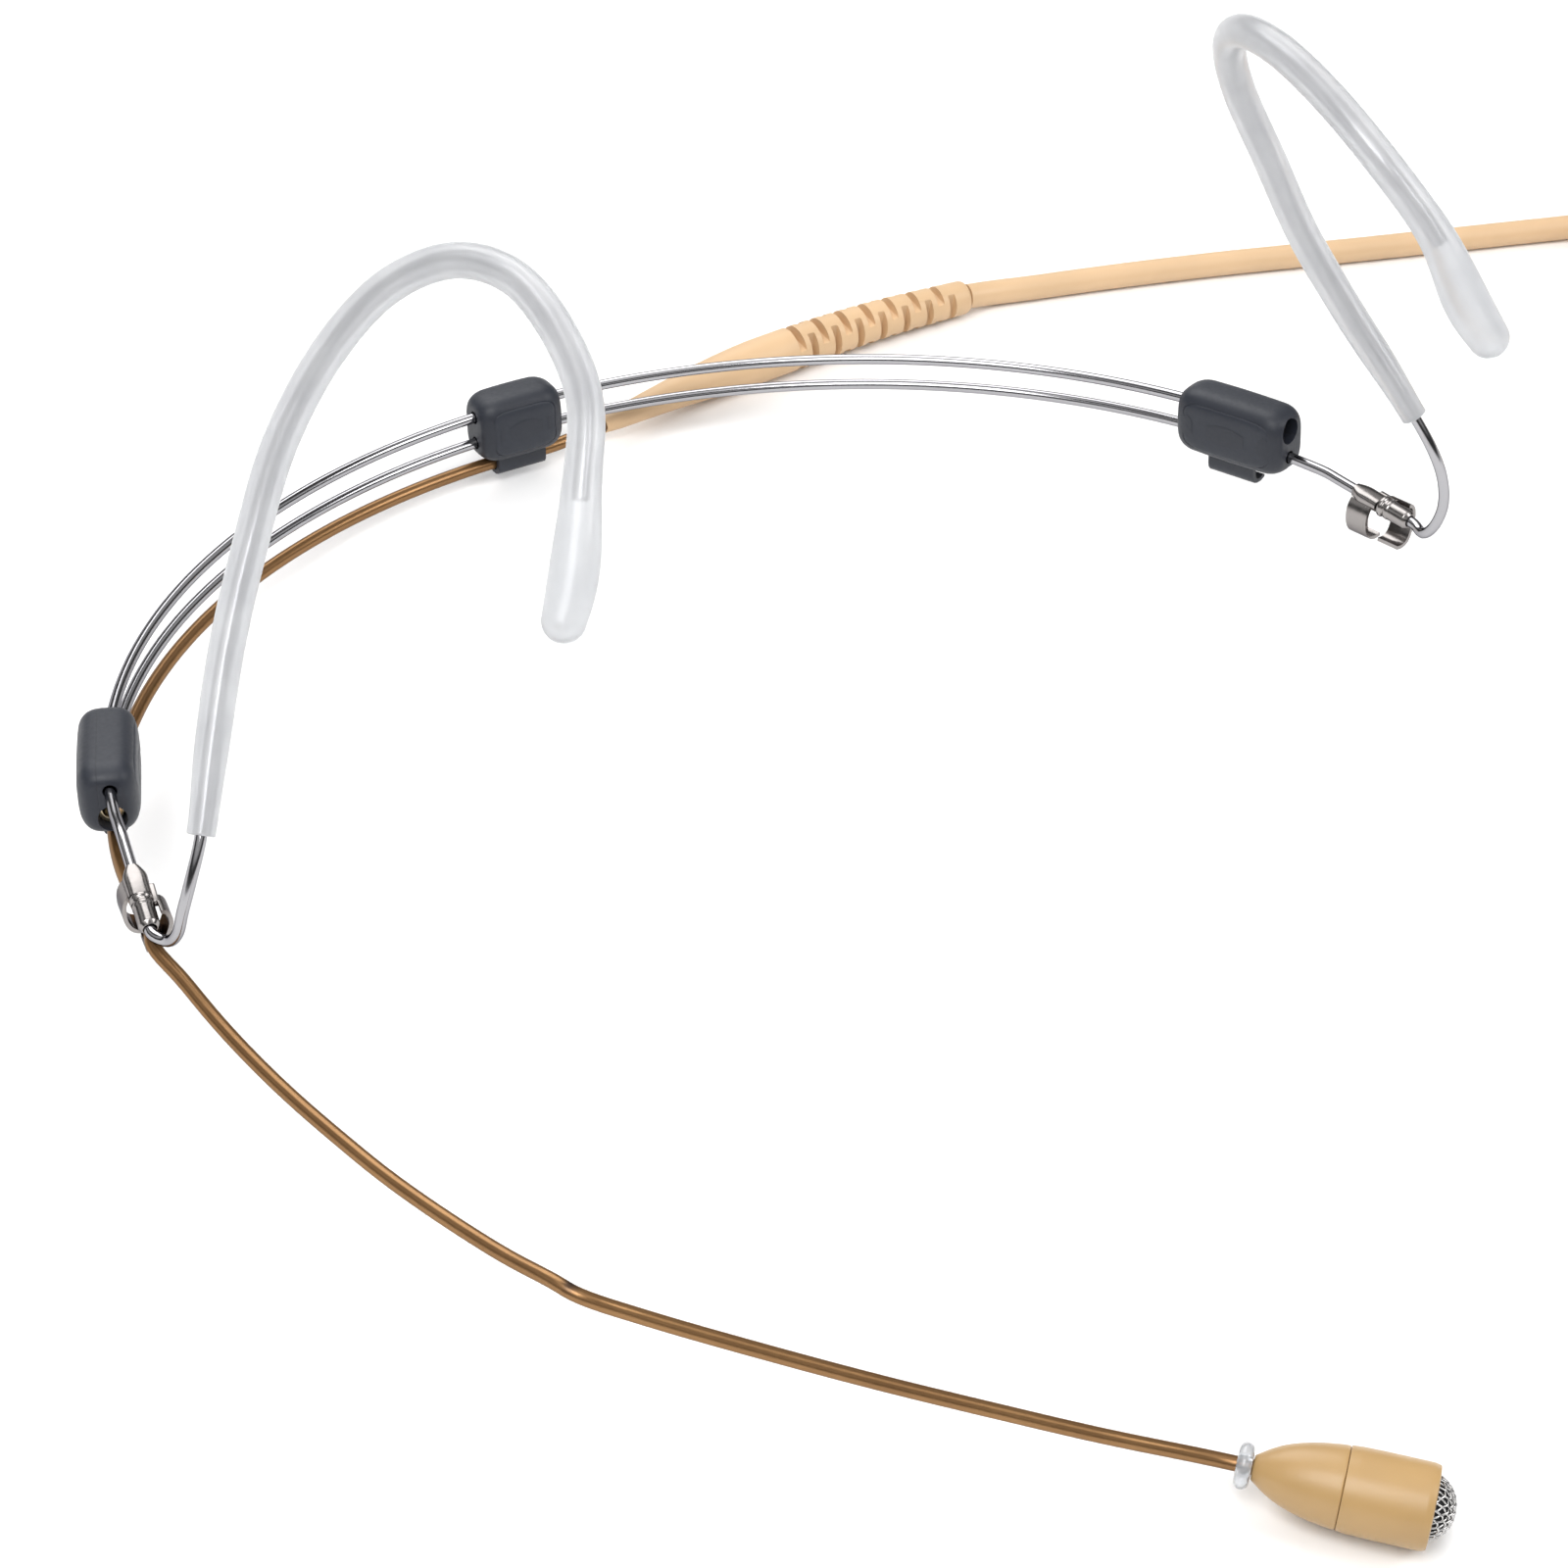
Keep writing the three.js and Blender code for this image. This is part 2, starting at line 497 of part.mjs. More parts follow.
// ---- assembly ----
function build() {
  const table = new THREE.Group();
  table.position.set(-ORIGIN[0], -ORIGIN[1], 0);
  const band = new THREE.Group();
  band.rotation.x = -TILT;
  band.position.z = BAND_HEIGHT;
  band.add(bandWire('upper_band_wire', RIGHT_CLAMP - 0.047, LEFT_BEND, WIRE_Z));
  band.add(bandWire('lower_band_wire', LEFT_CLAMP + 0.047, RIGHT_BEND, -WIRE_Z));
  band.add(clamp('left', SIDE_CLAMP_LONG, LEFT_CLAMP, 1));
  band.add(clamp('right', SIDE_CLAMP_LONG, RIGHT_CLAMP, -1));
  band.add(clamp('middle', MIDDLE_CLAMP_LONG, MIDDLE_CLAMP, 0));
  band.add(bracket('boom_side', LEFT_BEND, WIRE_Z));
  band.add(bracket('far_side', RIGHT_BEND, -WIRE_Z));
  band.add(hook('left', LEFT_BEND, WIRE_Z, -1, [0, 0, 0]));
  band.add(hook('right', RIGHT_BEND, -WIRE_Z, 1, [0.8 * DEG, -10.4 * DEG, -10.3 * DEG]));
  band.add(boomTube());
  table.add(band, capsule(), strainRelief(), cord(), coil(), plug());
  const root = new THREE.Group();
  root.add(table);
  return root;
}

export default build();
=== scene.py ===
"""Headset microphone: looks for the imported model, in metres, in the frame of the CAD."""
import json
import math

import bmesh
import bpy
from mathutils import Euler, Matrix, Vector


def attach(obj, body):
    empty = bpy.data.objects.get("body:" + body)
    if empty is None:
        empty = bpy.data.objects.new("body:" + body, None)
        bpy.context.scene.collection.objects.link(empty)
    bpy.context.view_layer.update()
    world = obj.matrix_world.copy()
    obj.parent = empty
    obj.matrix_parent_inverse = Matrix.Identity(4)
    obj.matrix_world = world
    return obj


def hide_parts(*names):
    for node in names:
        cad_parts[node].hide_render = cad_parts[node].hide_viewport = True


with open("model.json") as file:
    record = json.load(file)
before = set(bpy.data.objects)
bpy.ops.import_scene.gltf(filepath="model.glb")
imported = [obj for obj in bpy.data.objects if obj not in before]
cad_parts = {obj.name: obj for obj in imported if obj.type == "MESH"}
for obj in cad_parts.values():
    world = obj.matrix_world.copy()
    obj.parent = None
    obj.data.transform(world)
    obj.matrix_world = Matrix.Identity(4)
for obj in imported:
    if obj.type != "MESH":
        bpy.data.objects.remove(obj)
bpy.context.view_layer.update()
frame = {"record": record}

MM = 0.001
DEG = math.pi / 180


# ---- the part's own dimensions, millimetres ----
ORIGIN = (-0.07, -13.24)
TILT = 10.7 * DEG
BAND_HEIGHT = 21.2
BAND_R = 75.0
WIRE_R = 0.6
WIRE_Z = 1.625
HOLE_R = 0.76
BOOM_R = 0.75
BOOM_Z = -4.8
CLAMP_DEEP, CLAMP_HIGH = 5.4, 7.0
SIDE_CLAMP_LONG, MIDDLE_CLAMP_LONG = 14.0, 10.2
CLIP_LONG = 6.0
DROOP = {"boom_side": 16.3, "far_side": 6.5}
CHANNEL_Z = {"boom_side": -5.2, "far_side": -3.9}
BARREL_FROM, BARREL_LONG, BARREL_R = 8.3, 4.0, 1.1
TUBE_R, BULB_R = 1.75, 2.35
LEFT_BEND, RIGHT_BEND = 168.8 * DEG, 13.7 * DEG
LEFT_CLAMP, RIGHT_CLAMP, MIDDLE_CLAMP = 156.8 * DEG, 23.2 * DEG, 90 * DEG
BOOM_START = 86.5 * DEG
CORD_R = 1.5
COIL_AT, COIL_MID = (163.5, 36.5), 18.0
PLUG_AT = (193.6, 20.0)
PLUG_HEIGHT = 4.3
CAPSULE_NOSE = (-7.4, -92.7, 4.5)
CAPSULE_HEADING = -42.6 * DEG
RELIEF_LONG = 51.6

# band coordinates (mm) to the world (m), and table coordinates (mm) to the world
TABLE = Matrix.Translation((-ORIGIN[0] * MM, -ORIGIN[1] * MM, 0)) @ Matrix.Scale(MM, 4)
BAND = TABLE @ Matrix.Translation((0, 0, BAND_HEIGHT)) @ Matrix.Rotation(-TILT, 4, "X")


def unscaled(m):
    """The same place without the millimetre scale, for an object made in metres."""
    return m @ Matrix.Scale(1 / MM, 4)


# ---- camera ----
cam_data = bpy.data.cameras.new("camera")
cam_data.lens = 111.35
cam_data.sensor_width = 36
cam_data.clip_start = 0.01
cam_data.clip_end = 20
cam = bpy.data.objects.new("camera", cam_data)
bpy.context.scene.collection.objects.link(cam)
cam_at = BAND @ Vector((-207.4, -370.86, 261.91))
turn = BAND.to_3x3().normalized()
right = turn @ Vector((0.8715, -0.4897, -0.0257))
up = turn @ Vector((0.2821, 0.4578, 0.8431))
back = right.cross(up)
cam.matrix_world = Matrix((
    (right.x, up.x, back.x, cam_at.x), (right.y, up.y, back.y, cam_at.y),
    (right.z, up.z, back.z, cam_at.z), (0, 0, 0, 1)))
bpy.context.scene.camera = cam


# ---- node helpers ----


class Mat:
    """A Principled material with a few shorthands for procedural detail."""

    def __init__(self, name, **values):
        self.mat = bpy.data.materials.new(name)
        self.mat.use_nodes = True
        self.tree = self.mat.node_tree
        self.bsdf = self.tree.nodes["Principled BSDF"]
        self.out = self.tree.nodes["Material Output"]
        for key, value in values.items():
            self.bsdf.inputs[key.replace("_", " ")].default_value = value
        self.coord = self.node("ShaderNodeTexCoord").outputs["Object"]

    def node(self, kind, **props):
        n = self.tree.nodes.new(kind)
        for key, value in props.items():
            setattr(n, key, value)
        return n

    def link(self, a, b):
        self.tree.links.new(a, b)

    def noise(self, scale, detail=3.0):
        n = self.node("ShaderNodeTexNoise")
        n.inputs["Scale"].default_value = scale
        n.inputs["Detail"].default_value = detail
        self.link(self.coord, n.inputs["Vector"])
        return n.outputs["Fac"]

    def math(self, op, a, b=None, c=None):
        n = self.node("ShaderNodeMath", operation=op)
        for i, value in enumerate((a, b, c)):
            if value is None:
                continue
            if isinstance(value, (int, float)):
                n.inputs[i].default_value = value
            else:
                self.link(value, n.inputs[i])
        return n.outputs[0]

    def ramp(self, fac, *stops):
        n = self.node("ShaderNodeValToRGB")
        ramp = n.color_ramp
        while len(ramp.elements) < len(stops):
            ramp.elements.new(0.5)
        for element, (at, colour) in zip(ramp.elements, stops):
            element.position = at
            element.color = colour if len(colour) == 4 else (*colour, 1)
        self.link(fac, n.inputs["Fac"])
        return n.outputs["Color"]

    def span(self, fac, low, high):
        n = self.node("ShaderNodeMapRange")
        n.inputs["To Min"].default_value = low
        n.inputs["To Max"].default_value = high
        self.link(fac, n.inputs["Value"])
        return n.outputs["Result"]

    def bump(self, height, strength, distance=0.0001, normal=None):
        n = self.node("ShaderNodeBump")
        n.inputs["Strength"].default_value = strength
        n.inputs["Distance"].default_value = distance
        self.link(height, n.inputs["Height"])
        if normal is not None:
            self.link(normal, n.inputs["Normal"])
        return n.outputs["Normal"]

    def set(self, name, socket):
        self.link(socket, self.bsdf.inputs[name])


def metal(name, colour, rough, grain=900.0, spread=0.06, tint=0.08, bump=0.15):
    m = Mat(name, Metallic=1.0, Specular_Tint=(0.3, 0.3, 0.32, 1))
    n = m.noise(grain, 4)
    big = m.noise(60.0, 2)
    low = tuple(c * (1 - tint) for c in colour)
    m.set("Base Color", m.ramp(big, (0.3, low), (0.7, colour)))
    m.set("Roughness", m.span(n, max(rough - spread, 0.02), rough + spread))
    m.set("Normal", m.bump(n, bump, 0.00002))
    return m.mat


def moulded(name, colour, rough, grain=2600.0, bump=0.25, tint=0.06, coat=0.0):
    m = Mat(name, Coat_Weight=coat, Coat_Roughness=0.25)
    n = m.noise(grain, 2)
    big = m.noise(120.0, 3)
    low = tuple(c * (1 - tint) for c in colour)
    high = tuple(min(c * (1 + tint), 1) for c in colour)
    m.set("Base Color", m.ramp(big, (0.3, low), (0.7, high)))
    m.set("Roughness", m.span(n, rough - 0.07, rough + 0.07))
    m.set("Normal", m.bump(n, bump, 0.00003))
    return m.mat


def silicone():
    """Milky translucent sleeve: some light goes through, most is scattered white."""
    m = Mat("frosted_silicone", IOR=1.41, Transmission_Weight=0.5, Subsurface_Weight=0.3,
            Subsurface_Scale=0.0015, Subsurface_Radius=(1, 1, 1), Coat_Weight=0.2, Coat_Roughness=0.2)
    cloud = m.noise(220.0, 2)
    fine = m.noise(1600.0, 2)
    m.set("Base Color", m.ramp(cloud, (0.25, (0.66, 0.67, 0.69)), (0.75, (0.76, 0.77, 0.785))))
    m.set("Roughness", m.span(fine, 0.26, 0.38))
    m.set("Normal", m.bump(fine, 0.06, 0.00001))
    return m.mat


def clear_ring():
    m = Mat("clear_ring", IOR=1.43, Transmission_Weight=0.7, Subsurface_Weight=0.2,
            Subsurface_Scale=0.0008, Subsurface_Radius=(1, 1, 1), Coat_Weight=0.5,
            Coat_Roughness=0.08)
    fine = m.noise(900.0, 2)
    m.set("Base Color", m.ramp(fine, (0.3, (0.60, 0.62, 0.65)), (0.7, (0.76, 0.78, 0.80))))
    m.set("Roughness", m.span(fine, 0.08, 0.18))
    return m.mat


def boom_bronze():
    """Satin brown tube, with the small dark mark where it is sharply bent."""
    m = Mat("boom_bronze", Metallic=0.8, Coat_Weight=0.2, Coat_Roughness=0.2,
            Specular_Tint=(0.3, 0.28, 0.25, 1))
    fine = m.noise(1500.0, 3)
    big = m.noise(90.0, 3)
    colour = m.ramp(big, (0.3, (0.235, 0.125, 0.052)), (0.7, (0.30, 0.165, 0.07)))
    mark = BAND @ Vector((-61.6, -57.95, -10.2))
    offset = m.node("ShaderNodeVectorMath", operation="DISTANCE")
    m.link(m.coord, offset.inputs[0])
    offset.inputs[1].default_value = mark
    near = m.math("SUBTRACT", 1.0, m.math("MULTIPLY", offset.outputs["Value"], 1 / 0.0011))
    edge = m.math("MAXIMUM", m.math("MULTIPLY_ADD", fine, 0.5, m.math("SUBTRACT", near, 0.2)), 0.0)
    mix = m.node("ShaderNodeMix", data_type="RGBA")
    m.link(m.math("MINIMUM", edge, 0.85), mix.inputs["Factor"])
    m.link(colour, mix.inputs[6])
    mix.inputs[7].default_value = (0.03, 0.02, 0.018, 1)
    m.set("Base Color", mix.outputs[2])
    m.set("Roughness", m.span(fine, 0.24, 0.38))
    m.set("Normal", m.bump(fine, 0.12, 0.00002))
    return m.mat


def clamp_plastic(name, colour, seam):
    """Fine matte moulding with a parting line around the clamp's middle."""
    m = Mat(name)
    n = m.noise(2200.0, 3)
    big = m.noise(160.0, 3)
    split = m.node("ShaderNodeSeparateXYZ")
    m.link(m.coord, split.inputs[0])
    line = m.math("ABSOLUTE", m.math("SUBTRACT", split.outputs["X"], seam))
    groove = m.math("MINIMUM", m.math("MULTIPLY", line, 1 / 0.00007), 1.0)
    tone = m.math("MULTIPLY", m.span(big, 0.82, 1.12), m.span(groove, 0.7, 1.0))
    mix = m.node("ShaderNodeMix", data_type="RGBA", blend_type="MULTIPLY")
    mix.inputs["Factor"].default_value = 1.0
    mix.inputs[6].default_value = (*colour, 1)
    m.link(tone, mix.inputs[7])
    m.set("Base Color", mix.outputs[2])
    m.set("Roughness", m.span(n, 0.42, 0.6))
    normal = m.bump(n, 0.2, 0.00003)
    m.set("Normal", m.bump(groove, 0.4, 0.00003, normal))
    return m.mat


MATERIALS = {
    "wire_steel": metal("wire_steel", (0.40, 0.395, 0.41), 0.14, 700, 0.04, 0.08, 0.06),
    "bracket_steel": metal("bracket_steel", (0.33, 0.31, 0.30), 0.24, 1400, 0.08, 0.25, 0.3),
    "barrel_steel": metal("barrel_steel", (0.35, 0.33, 0.32), 0.22, 1400, 0.08, 0.25, 0.3),
    "ferrule_metal": metal("ferrule_metal", (0.80, 0.69, 0.48), 0.24, 1200),
    "clamp_plastic": clamp_plastic("clamp_plastic", (0.0125, 0.0155, 0.0245), 0.0009),
    "clamp_cover_plastic": clamp_plastic("clamp_cover_plastic", (0.014, 0.0175, 0.0275), 0.01),
    "silicone": silicone(),
    "boom_bronze": boom_bronze(),
    "capsule_tan": moulded("capsule_tan", (0.43, 0.27, 0.11), 0.4, 2600, 0.2, 0.05, 0.12),
    "grille_mesh": metal("grille_mesh", (0.60, 0.59, 0.58), 0.22, 1600, 0.05, 0.15),
    "element_metal": metal("element_metal", (0.7, 0.69, 0.66), 0.35),
    "board_green": moulded("board_green", (0.03, 0.12, 0.05), 0.45),
    "clear_ring": clear_ring(),
    "relief_beige": moulded("relief_beige", (0.62, 0.42, 0.24), 0.48, 1800, 0.3, 0.05),
    "cord_beige": moulded("cord_beige", (0.63, 0.43, 0.25), 0.42, 1500, 0.2, 0.04),
    "plug_rubber": moulded("plug_rubber", (0.018, 0.018, 0.02), 0.5),
    "plug_metal": metal("plug_metal", (0.46, 0.46, 0.47), 0.25, 1100),
    "plug_knurl": metal("plug_knurl", (0.50, 0.50, 0.52), 0.28, 1100),
    "pin_gold": metal("pin_gold", (0.86, 0.70, 0.36), 0.2, 900),
}


# Near-black matte material for the disc under the grille: painted shade standing in for the shadowed
# inside of the capsule.
GRILLE_SHADE = moulded("painted_grille_shade", (0.02, 0.02, 0.022), 0.8, 3000, 0.6)


# ---- mesh helpers: points in millimetres, placed by a matrix ----


def finish_mesh(name, bm, place, sharp=38):
    bmesh.ops.recalc_face_normals(bm, faces=bm.faces)
    for face in bm.faces:
        face.smooth = True
    for edge in bm.edges:
        if len(edge.link_faces) == 2 and edge.calc_face_angle(0) > sharp * DEG:
            edge.smooth = False
    mesh = bpy.data.meshes.new(name)
    bm.to_mesh(mesh)
    bm.free()
    mesh.transform(Matrix.Scale(MM, 4))
    obj = bpy.data.objects.new(name, mesh)
    bpy.context.scene.collection.objects.link(obj)
    obj.matrix_world = unscaled(place)
    return obj


def baked(name, bm, place):
    """A mesh whose points are already in the place's coordinates, baked to the world."""
    obj = finish_mesh(name, bm, place)
    obj.data.transform(obj.matrix_world)
    obj.matrix_world = Matrix.Identity(4)
    return obj


def dress(obj, node, body, slot=None):
    record = {s["node"]: s["material_slot"] for s in frame["record"]["subparts"]}
    key = slot or record[node]
    obj.data.materials.clear()
    obj.data.materials.append(MATERIALS[key])
    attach(obj, body)
    if node:
        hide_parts(node)
    return obj


def catmull(points, per=10):
    """Centripetal Catmull-Rom through the points, as the CAD draws its routes."""
    pts = [Vector(p) for p in points]
    ends = [pts[0] * 2 - pts[1]] + pts + [pts[-1] * 2 - pts[-2]]
    out = []
    for i in range(1, len(ends) - 2):
        p0, p1, p2, p3 = ends[i - 1:i + 3]
        d0, d1, d2 = (max((b - a).length, 1e-6) ** 0.5 for a, b in ((p0, p1), (p1, p2), (p2, p3)))
        t1 = ((p1 - p0) / d0 - (p2 - p0) / (d0 + d1) + (p2 - p1) / d1) * d1
        t2 = ((p2 - p1) / d1 - (p3 - p1) / (d1 + d2) + (p3 - p2) / d2) * d1
        for k in range(per):
            u = k / per
            out.append(p1 + t1 * u + (-3 * p1 + 3 * p2 - 2 * t1 - t2) * u * u
                       + (2 * p1 - 2 * p2 + t1 + t2) * u ** 3)
    out.append(pts[-1])
    return out


def spaced(points, count, start=0.0, end=1.0):
    """Points evenly spaced along a polyline, between two shares of its length."""
    total = [0.0]
    for a, b in zip(points, points[1:]):
        total.append(total[-1] + (b - a).length)
    out = []
    j = 0
    for i in range(count + 1):
        want = total[-1] * (start + (end - start) * i / count)
        while j + 2 < len(total) and total[j + 1] < want:
            j += 1
        step = max(total[j + 1] - total[j], 1e-9)
        out.append(points[j].lerp(points[j + 1], min(max((want - total[j]) / step, 0), 1)))
    return out


def ring_frames(points):
    tangents = []
    for i in range(len(points)):
        a = points[max(i - 1, 0)]
        b = points[min(i + 1, len(points) - 1)]
        tangents.append((b - a).normalized())
    normal = Vector((0, 0, 1)).cross(tangents[0])
    if normal.length < 1e-3:
        normal = Vector((1, 0, 0))
    out = []
    for t in tangents:
        normal = (normal - t * normal.dot(t)).normalized()
        out.append((t, normal.copy(), t.cross(normal)))
    return out


def signed_power(value, power):
    """Keeps the sign: a circle's cosine and sine become those of a rounder or squarer outline."""
    return math.copysign(abs(value) ** power, value)


def skin(bm, rings, closed=False):
    """Quads between rings of equal length; capped at both ends, or joined end to start."""
    pairs = zip(rings, rings[1:] + rings[:1]) if closed else zip(rings, rings[1:])
    for r0, r1 in pairs:
        for k in range(len(r0)):
            j = (k + 1) % len(r0)
            bm.faces.new((r0[k], r0[j], r1[j], r1[k]))
    if not closed:
        bm.faces.new(rings[0])
        bm.faces.new(rings[-1])
    return bm


def pipe(points, radius, sides=20):
    """A closed round pipe; radius may be one number or one for each point."""
    radii = radius if isinstance(radius, list) else [radius] * len(points)
    bm = bmesh.new()
    turns = [2 * math.pi * k / sides for k in range(sides)]
    rings = []
    for p, r, (_, n, b) in zip(points, radii, ring_frames(points)):
        rings.append([bm.verts.new(p + n * r * math.cos(a) + b * r * math.sin(a)) for a in turns])
    return skin(bm, rings)


def rounded_ends(points, radius, depth=0.35):
    """Pulls the pipe's ends in over a short chamfer, so that cut wire has a broken edge."""
    first = (points[0] - points[1]).normalized()
    last = (points[-1] - points[-2]).normalized()
    before = [points[0] + first * 0.18, points[0] + first * 0.12]
    after = [points[-1] + last * 0.12, points[-1] + last * 0.18]
    narrow, middle = radius * (1 - depth), radius * (1 - depth * 0.4)
    return before + points + after, [narrow, middle] + [radius] * len(points) + [middle, narrow]


def lathe(profile, segments=72):
    """Turned about +X from (radius, x) pairs; a closed profile off the axis makes a ring."""
    bm = bmesh.new()
    rings = []
    for r, x in profile:
        if r < 1e-6:
            rings.append([bm.verts.new((x, 0, 0))])
            continue
        rings.append([bm.verts.new((x, r * math.cos(2 * math.pi * k / segments),
                                    r * math.sin(2 * math.pi * k / segments)))
                      for k in range(segments)])
    for r0, r1 in zip(rings, rings[1:]):
        for k in range(segments):
            j = (k + 1) % segments
            if len(r0) == 1 and len(r1) == 1:
                continue
            if len(r0) == 1:
                bm.faces.new((r0[0], r1[j], r1[k]))
            elif len(r1) == 1:
                bm.faces.new((r0[k], r0[j], r1[0]))
            else:
                bm.faces.new((r0[k], r0[j], r1[j], r1[k]))
    bmesh.ops.remove_doubles(bm, verts=bm.verts, dist=1e-5)
    return bm


def soften(profile, r=0.12, steps=3):
    """Rounds the corners of a turned profile with short arcs."""
    pts = [Vector((a, b, 0)) for a, b in profile]
    out = [profile[0]]
    for a, p, b in zip(pts, pts[1:], pts[2:]):
        da, db = a - p, b - p
        reach = min(r, da.length * 0.45, db.length * 0.45)
        if reach < 1e-4 or p.x < 1e-6:
            out.append((p.x, p.y))
            continue
        s, e = p + da.normalized() * reach, p + db.normalized() * reach
        for i in range(steps + 1):
            u = i / steps
            q = s * (1 - u) ** 2 + p * 2 * u * (1 - u) + e * u * u
            out.append((q.x, q.y))
    out.append(profile[-1])
    return out


def prism(outline, y0, y1):
    """An outline of (x, z) extruded along Y."""
    bm = bmesh.new()
    a = [bm.verts.new((x, y0, z)) for x, z in outline]
    b = [bm.verts.new((x, y1, z)) for x, z in outline]
    return skin(bm, [a, b])


def add(bm, other):
    mesh = bpy.data.meshes.new("part")
    other.to_mesh(mesh)
    other.free()
    bm.from_mesh(mesh)
    bpy.data.meshes.remove(mesh)
    return bm


def with_bevel(bm, width, segments=3, angle=30):
    edges = [e for e in bm.edges if len(e.link_faces) == 2 and e.calc_face_angle(0) > angle * DEG]
    bmesh.ops.bevel(bm, geom=edges, offset=width, segments=segments, profile=0.5, affect="EDGES",
                    clamp_overlap=True)
    return bm


def carve(bm, cutters):
    """Exact boolean difference with each cutter in turn."""
    mesh = bpy.data.meshes.new("carved")
    bmesh.ops.recalc_face_normals(bm, faces=bm.faces)
    bm.to_mesh(mesh)
    bm.free()
    obj = bpy.data.objects.new("carved", mesh)
    bpy.context.scene.collection.objects.link(obj)
    spare = []
    for cutter in cutters:
        bmesh.ops.recalc_face_normals(cutter, faces=cutter.faces)
        tool_mesh = bpy.data.meshes.new("cutter")
        cutter.to_mesh(tool_mesh)
        cutter.free()
        tool = bpy.data.objects.new("cutter", tool_mesh)
        bpy.context.scene.collection.objects.link(tool)
        mod = obj.modifiers.new("cut", "BOOLEAN")
        mod.operation = "DIFFERENCE"
        mod.solver = "EXACT"
        mod.object = tool
        spare.append(tool)
    done = bpy.data.meshes.new_from_object(obj.evaluated_get(bpy.context.evaluated_depsgraph_get()))
    result = bmesh.new()
    result.from_mesh(done)
    for item in spare + [obj]:
        data = item.data
        bpy.data.objects.remove(item)
        bpy.data.meshes.remove(data)
    bpy.data.meshes.remove(done)
    return result


# ---- cord first: the route of part.mjs, then a coil, then the tail into the plug ----
CORD_ROUTE = [(63.8, 78.5, 2.25), (67.5, 78.4, 1.8), (72.3, 77.6, 1.6), (78.6, 76.4, 1.55),
              (84.8, 75.1, 1.55), (91.0, 73.7, 1.55), (97.3, 72.2, 1.55), (103.5, 70.6, 1.55),
              (109.7, 69.0, 1.55), (115.9, 67.4, 1.55), (122.3, 65.8, 1.55), (128.6, 64.2, 1.55),
              (135.0, 62.6, 1.55), (141.4, 61.0, 1.55), (146.0, 60.0, 1.55), (150.2, 59.2, 1.6)]
COIL_SLOTS = [(4.5, 1.6), (1.5, 1.6), (-1.5, 1.6), (-4.5, 1.6), (-3.0, 4.2), (0.0, 4.2), (3.0, 4.2),
              (4.5, 6.8), (1.5, 6.8), (-1.5, 6.8), (-3.0, 9.4), (0.0, 9.4), (3.0, 9.4)]


def cord_points():
    pts = [Vector(p) for p in CORD_ROUTE]
    cx, cy = COIL_AT
    steps = 20
    first, last = 92 * DEG, -20 * DEG
    turns = len(COIL_SLOTS) - 1
    sweep = turns * 2 * math.pi + (first - last)
    count = int(sweep / (2 * math.pi) * steps)
    for i in range(count + 1):
        gone = sweep * i / count
        turn_no = gone / (2 * math.pi)
        k = min(int(turn_no), turns)
        u = turn_no - k
        nxt = COIL_SLOTS[min(k + 1, turns)]
        here = COIL_SLOTS[k]
        w = min(max((u - 0.72) / 0.28, 0), 1)
        w = w * w * (3 - 2 * w)
        r = COIL_MID + here[0] + (nxt[0] - here[0]) * w
        z = here[1] + (nxt[1] - here[1]) * w
        a = first - gone
        pts.append(Vector((cx + r * math.cos(a), cy + r * math.sin(a), z)))
    for p in ((180.2, 18.0, 8.2), (176.6, 9.0, 4.0), (175.6, 2.0, 1.7), (178.6, -4.6, 1.6),
              (184.6, -7.4, 1.6), (190.4, -4.8, 1.7), (193.2, 2.4, 2.2), (193.6, 10.0, 3.4),
              (193.6, 16.0, 4.2), (193.6, 20.2, 4.3)):
        pts.append(Vector(p))
    return pts


def cord_curve():
    data = bpy.data.curves.new("cord", "CURVE")
    data.dimensions = "3D"
    data.bevel_depth = CORD_R * MM
    data.bevel_resolution = 6
    data.resolution_u = 6
    data.use_fill_caps = True
    pts = cord_points()
    spline = data.splines.new("BEZIER")
    spline.bezier_points.add(len(pts) - 1)
    for bp, p in zip(spline.bezier_points, pts):
        bp.co = TABLE @ p
        bp.handle_left_type = bp.handle_right_type = "AUTO"
    obj = bpy.data.objects.new("cord", data)
    bpy.context.scene.collection.objects.link(obj)
    return obj


def plug_place():
    return TABLE @ Matrix.Translation((*PLUG_AT, PLUG_HEIGHT)) @ Matrix.Rotation(math.pi / 2, 4, "Z")


def plug_boot():
    bm = lathe(soften([(0, 0), (1.75, 0), (2.05, 0.6), (2.45, 4.0), (2.9, 9.4), (2.9, 10.5),
                       (0, 10.5)], 0.25), 48)
    slots = []
    for i in range(4):
        for side in (1, -1):
            cutter = bmesh.new()
            bmesh.ops.create_cube(cutter, size=1, matrix=Matrix.Translation(
                (2.2 + i * 1.8, 0, side * 3.0)) @ Matrix.Diagonal((0.7, 7, 2.2, 1)))
            slots.append(cutter)
    return finish_mesh("plug_boot_moulded", carve(bm, slots), plug_place())


def plug_shell():
    bm = lathe(soften([(0, 10.8), (3.2, 10.8), (3.45, 11.1), (3.5, 12.6), (3.3, 12.7), (3.3, 13.1),
                       (3.5, 13.2), (3.5, 19.5), (2.6, 19.9), (2.6, 26.6), (1.75, 26.7), (1.75, 27.0),
                       (0, 27.0)], 0.15), 64)
    return finish_mesh("plug_shell_turned", bm, plug_place())


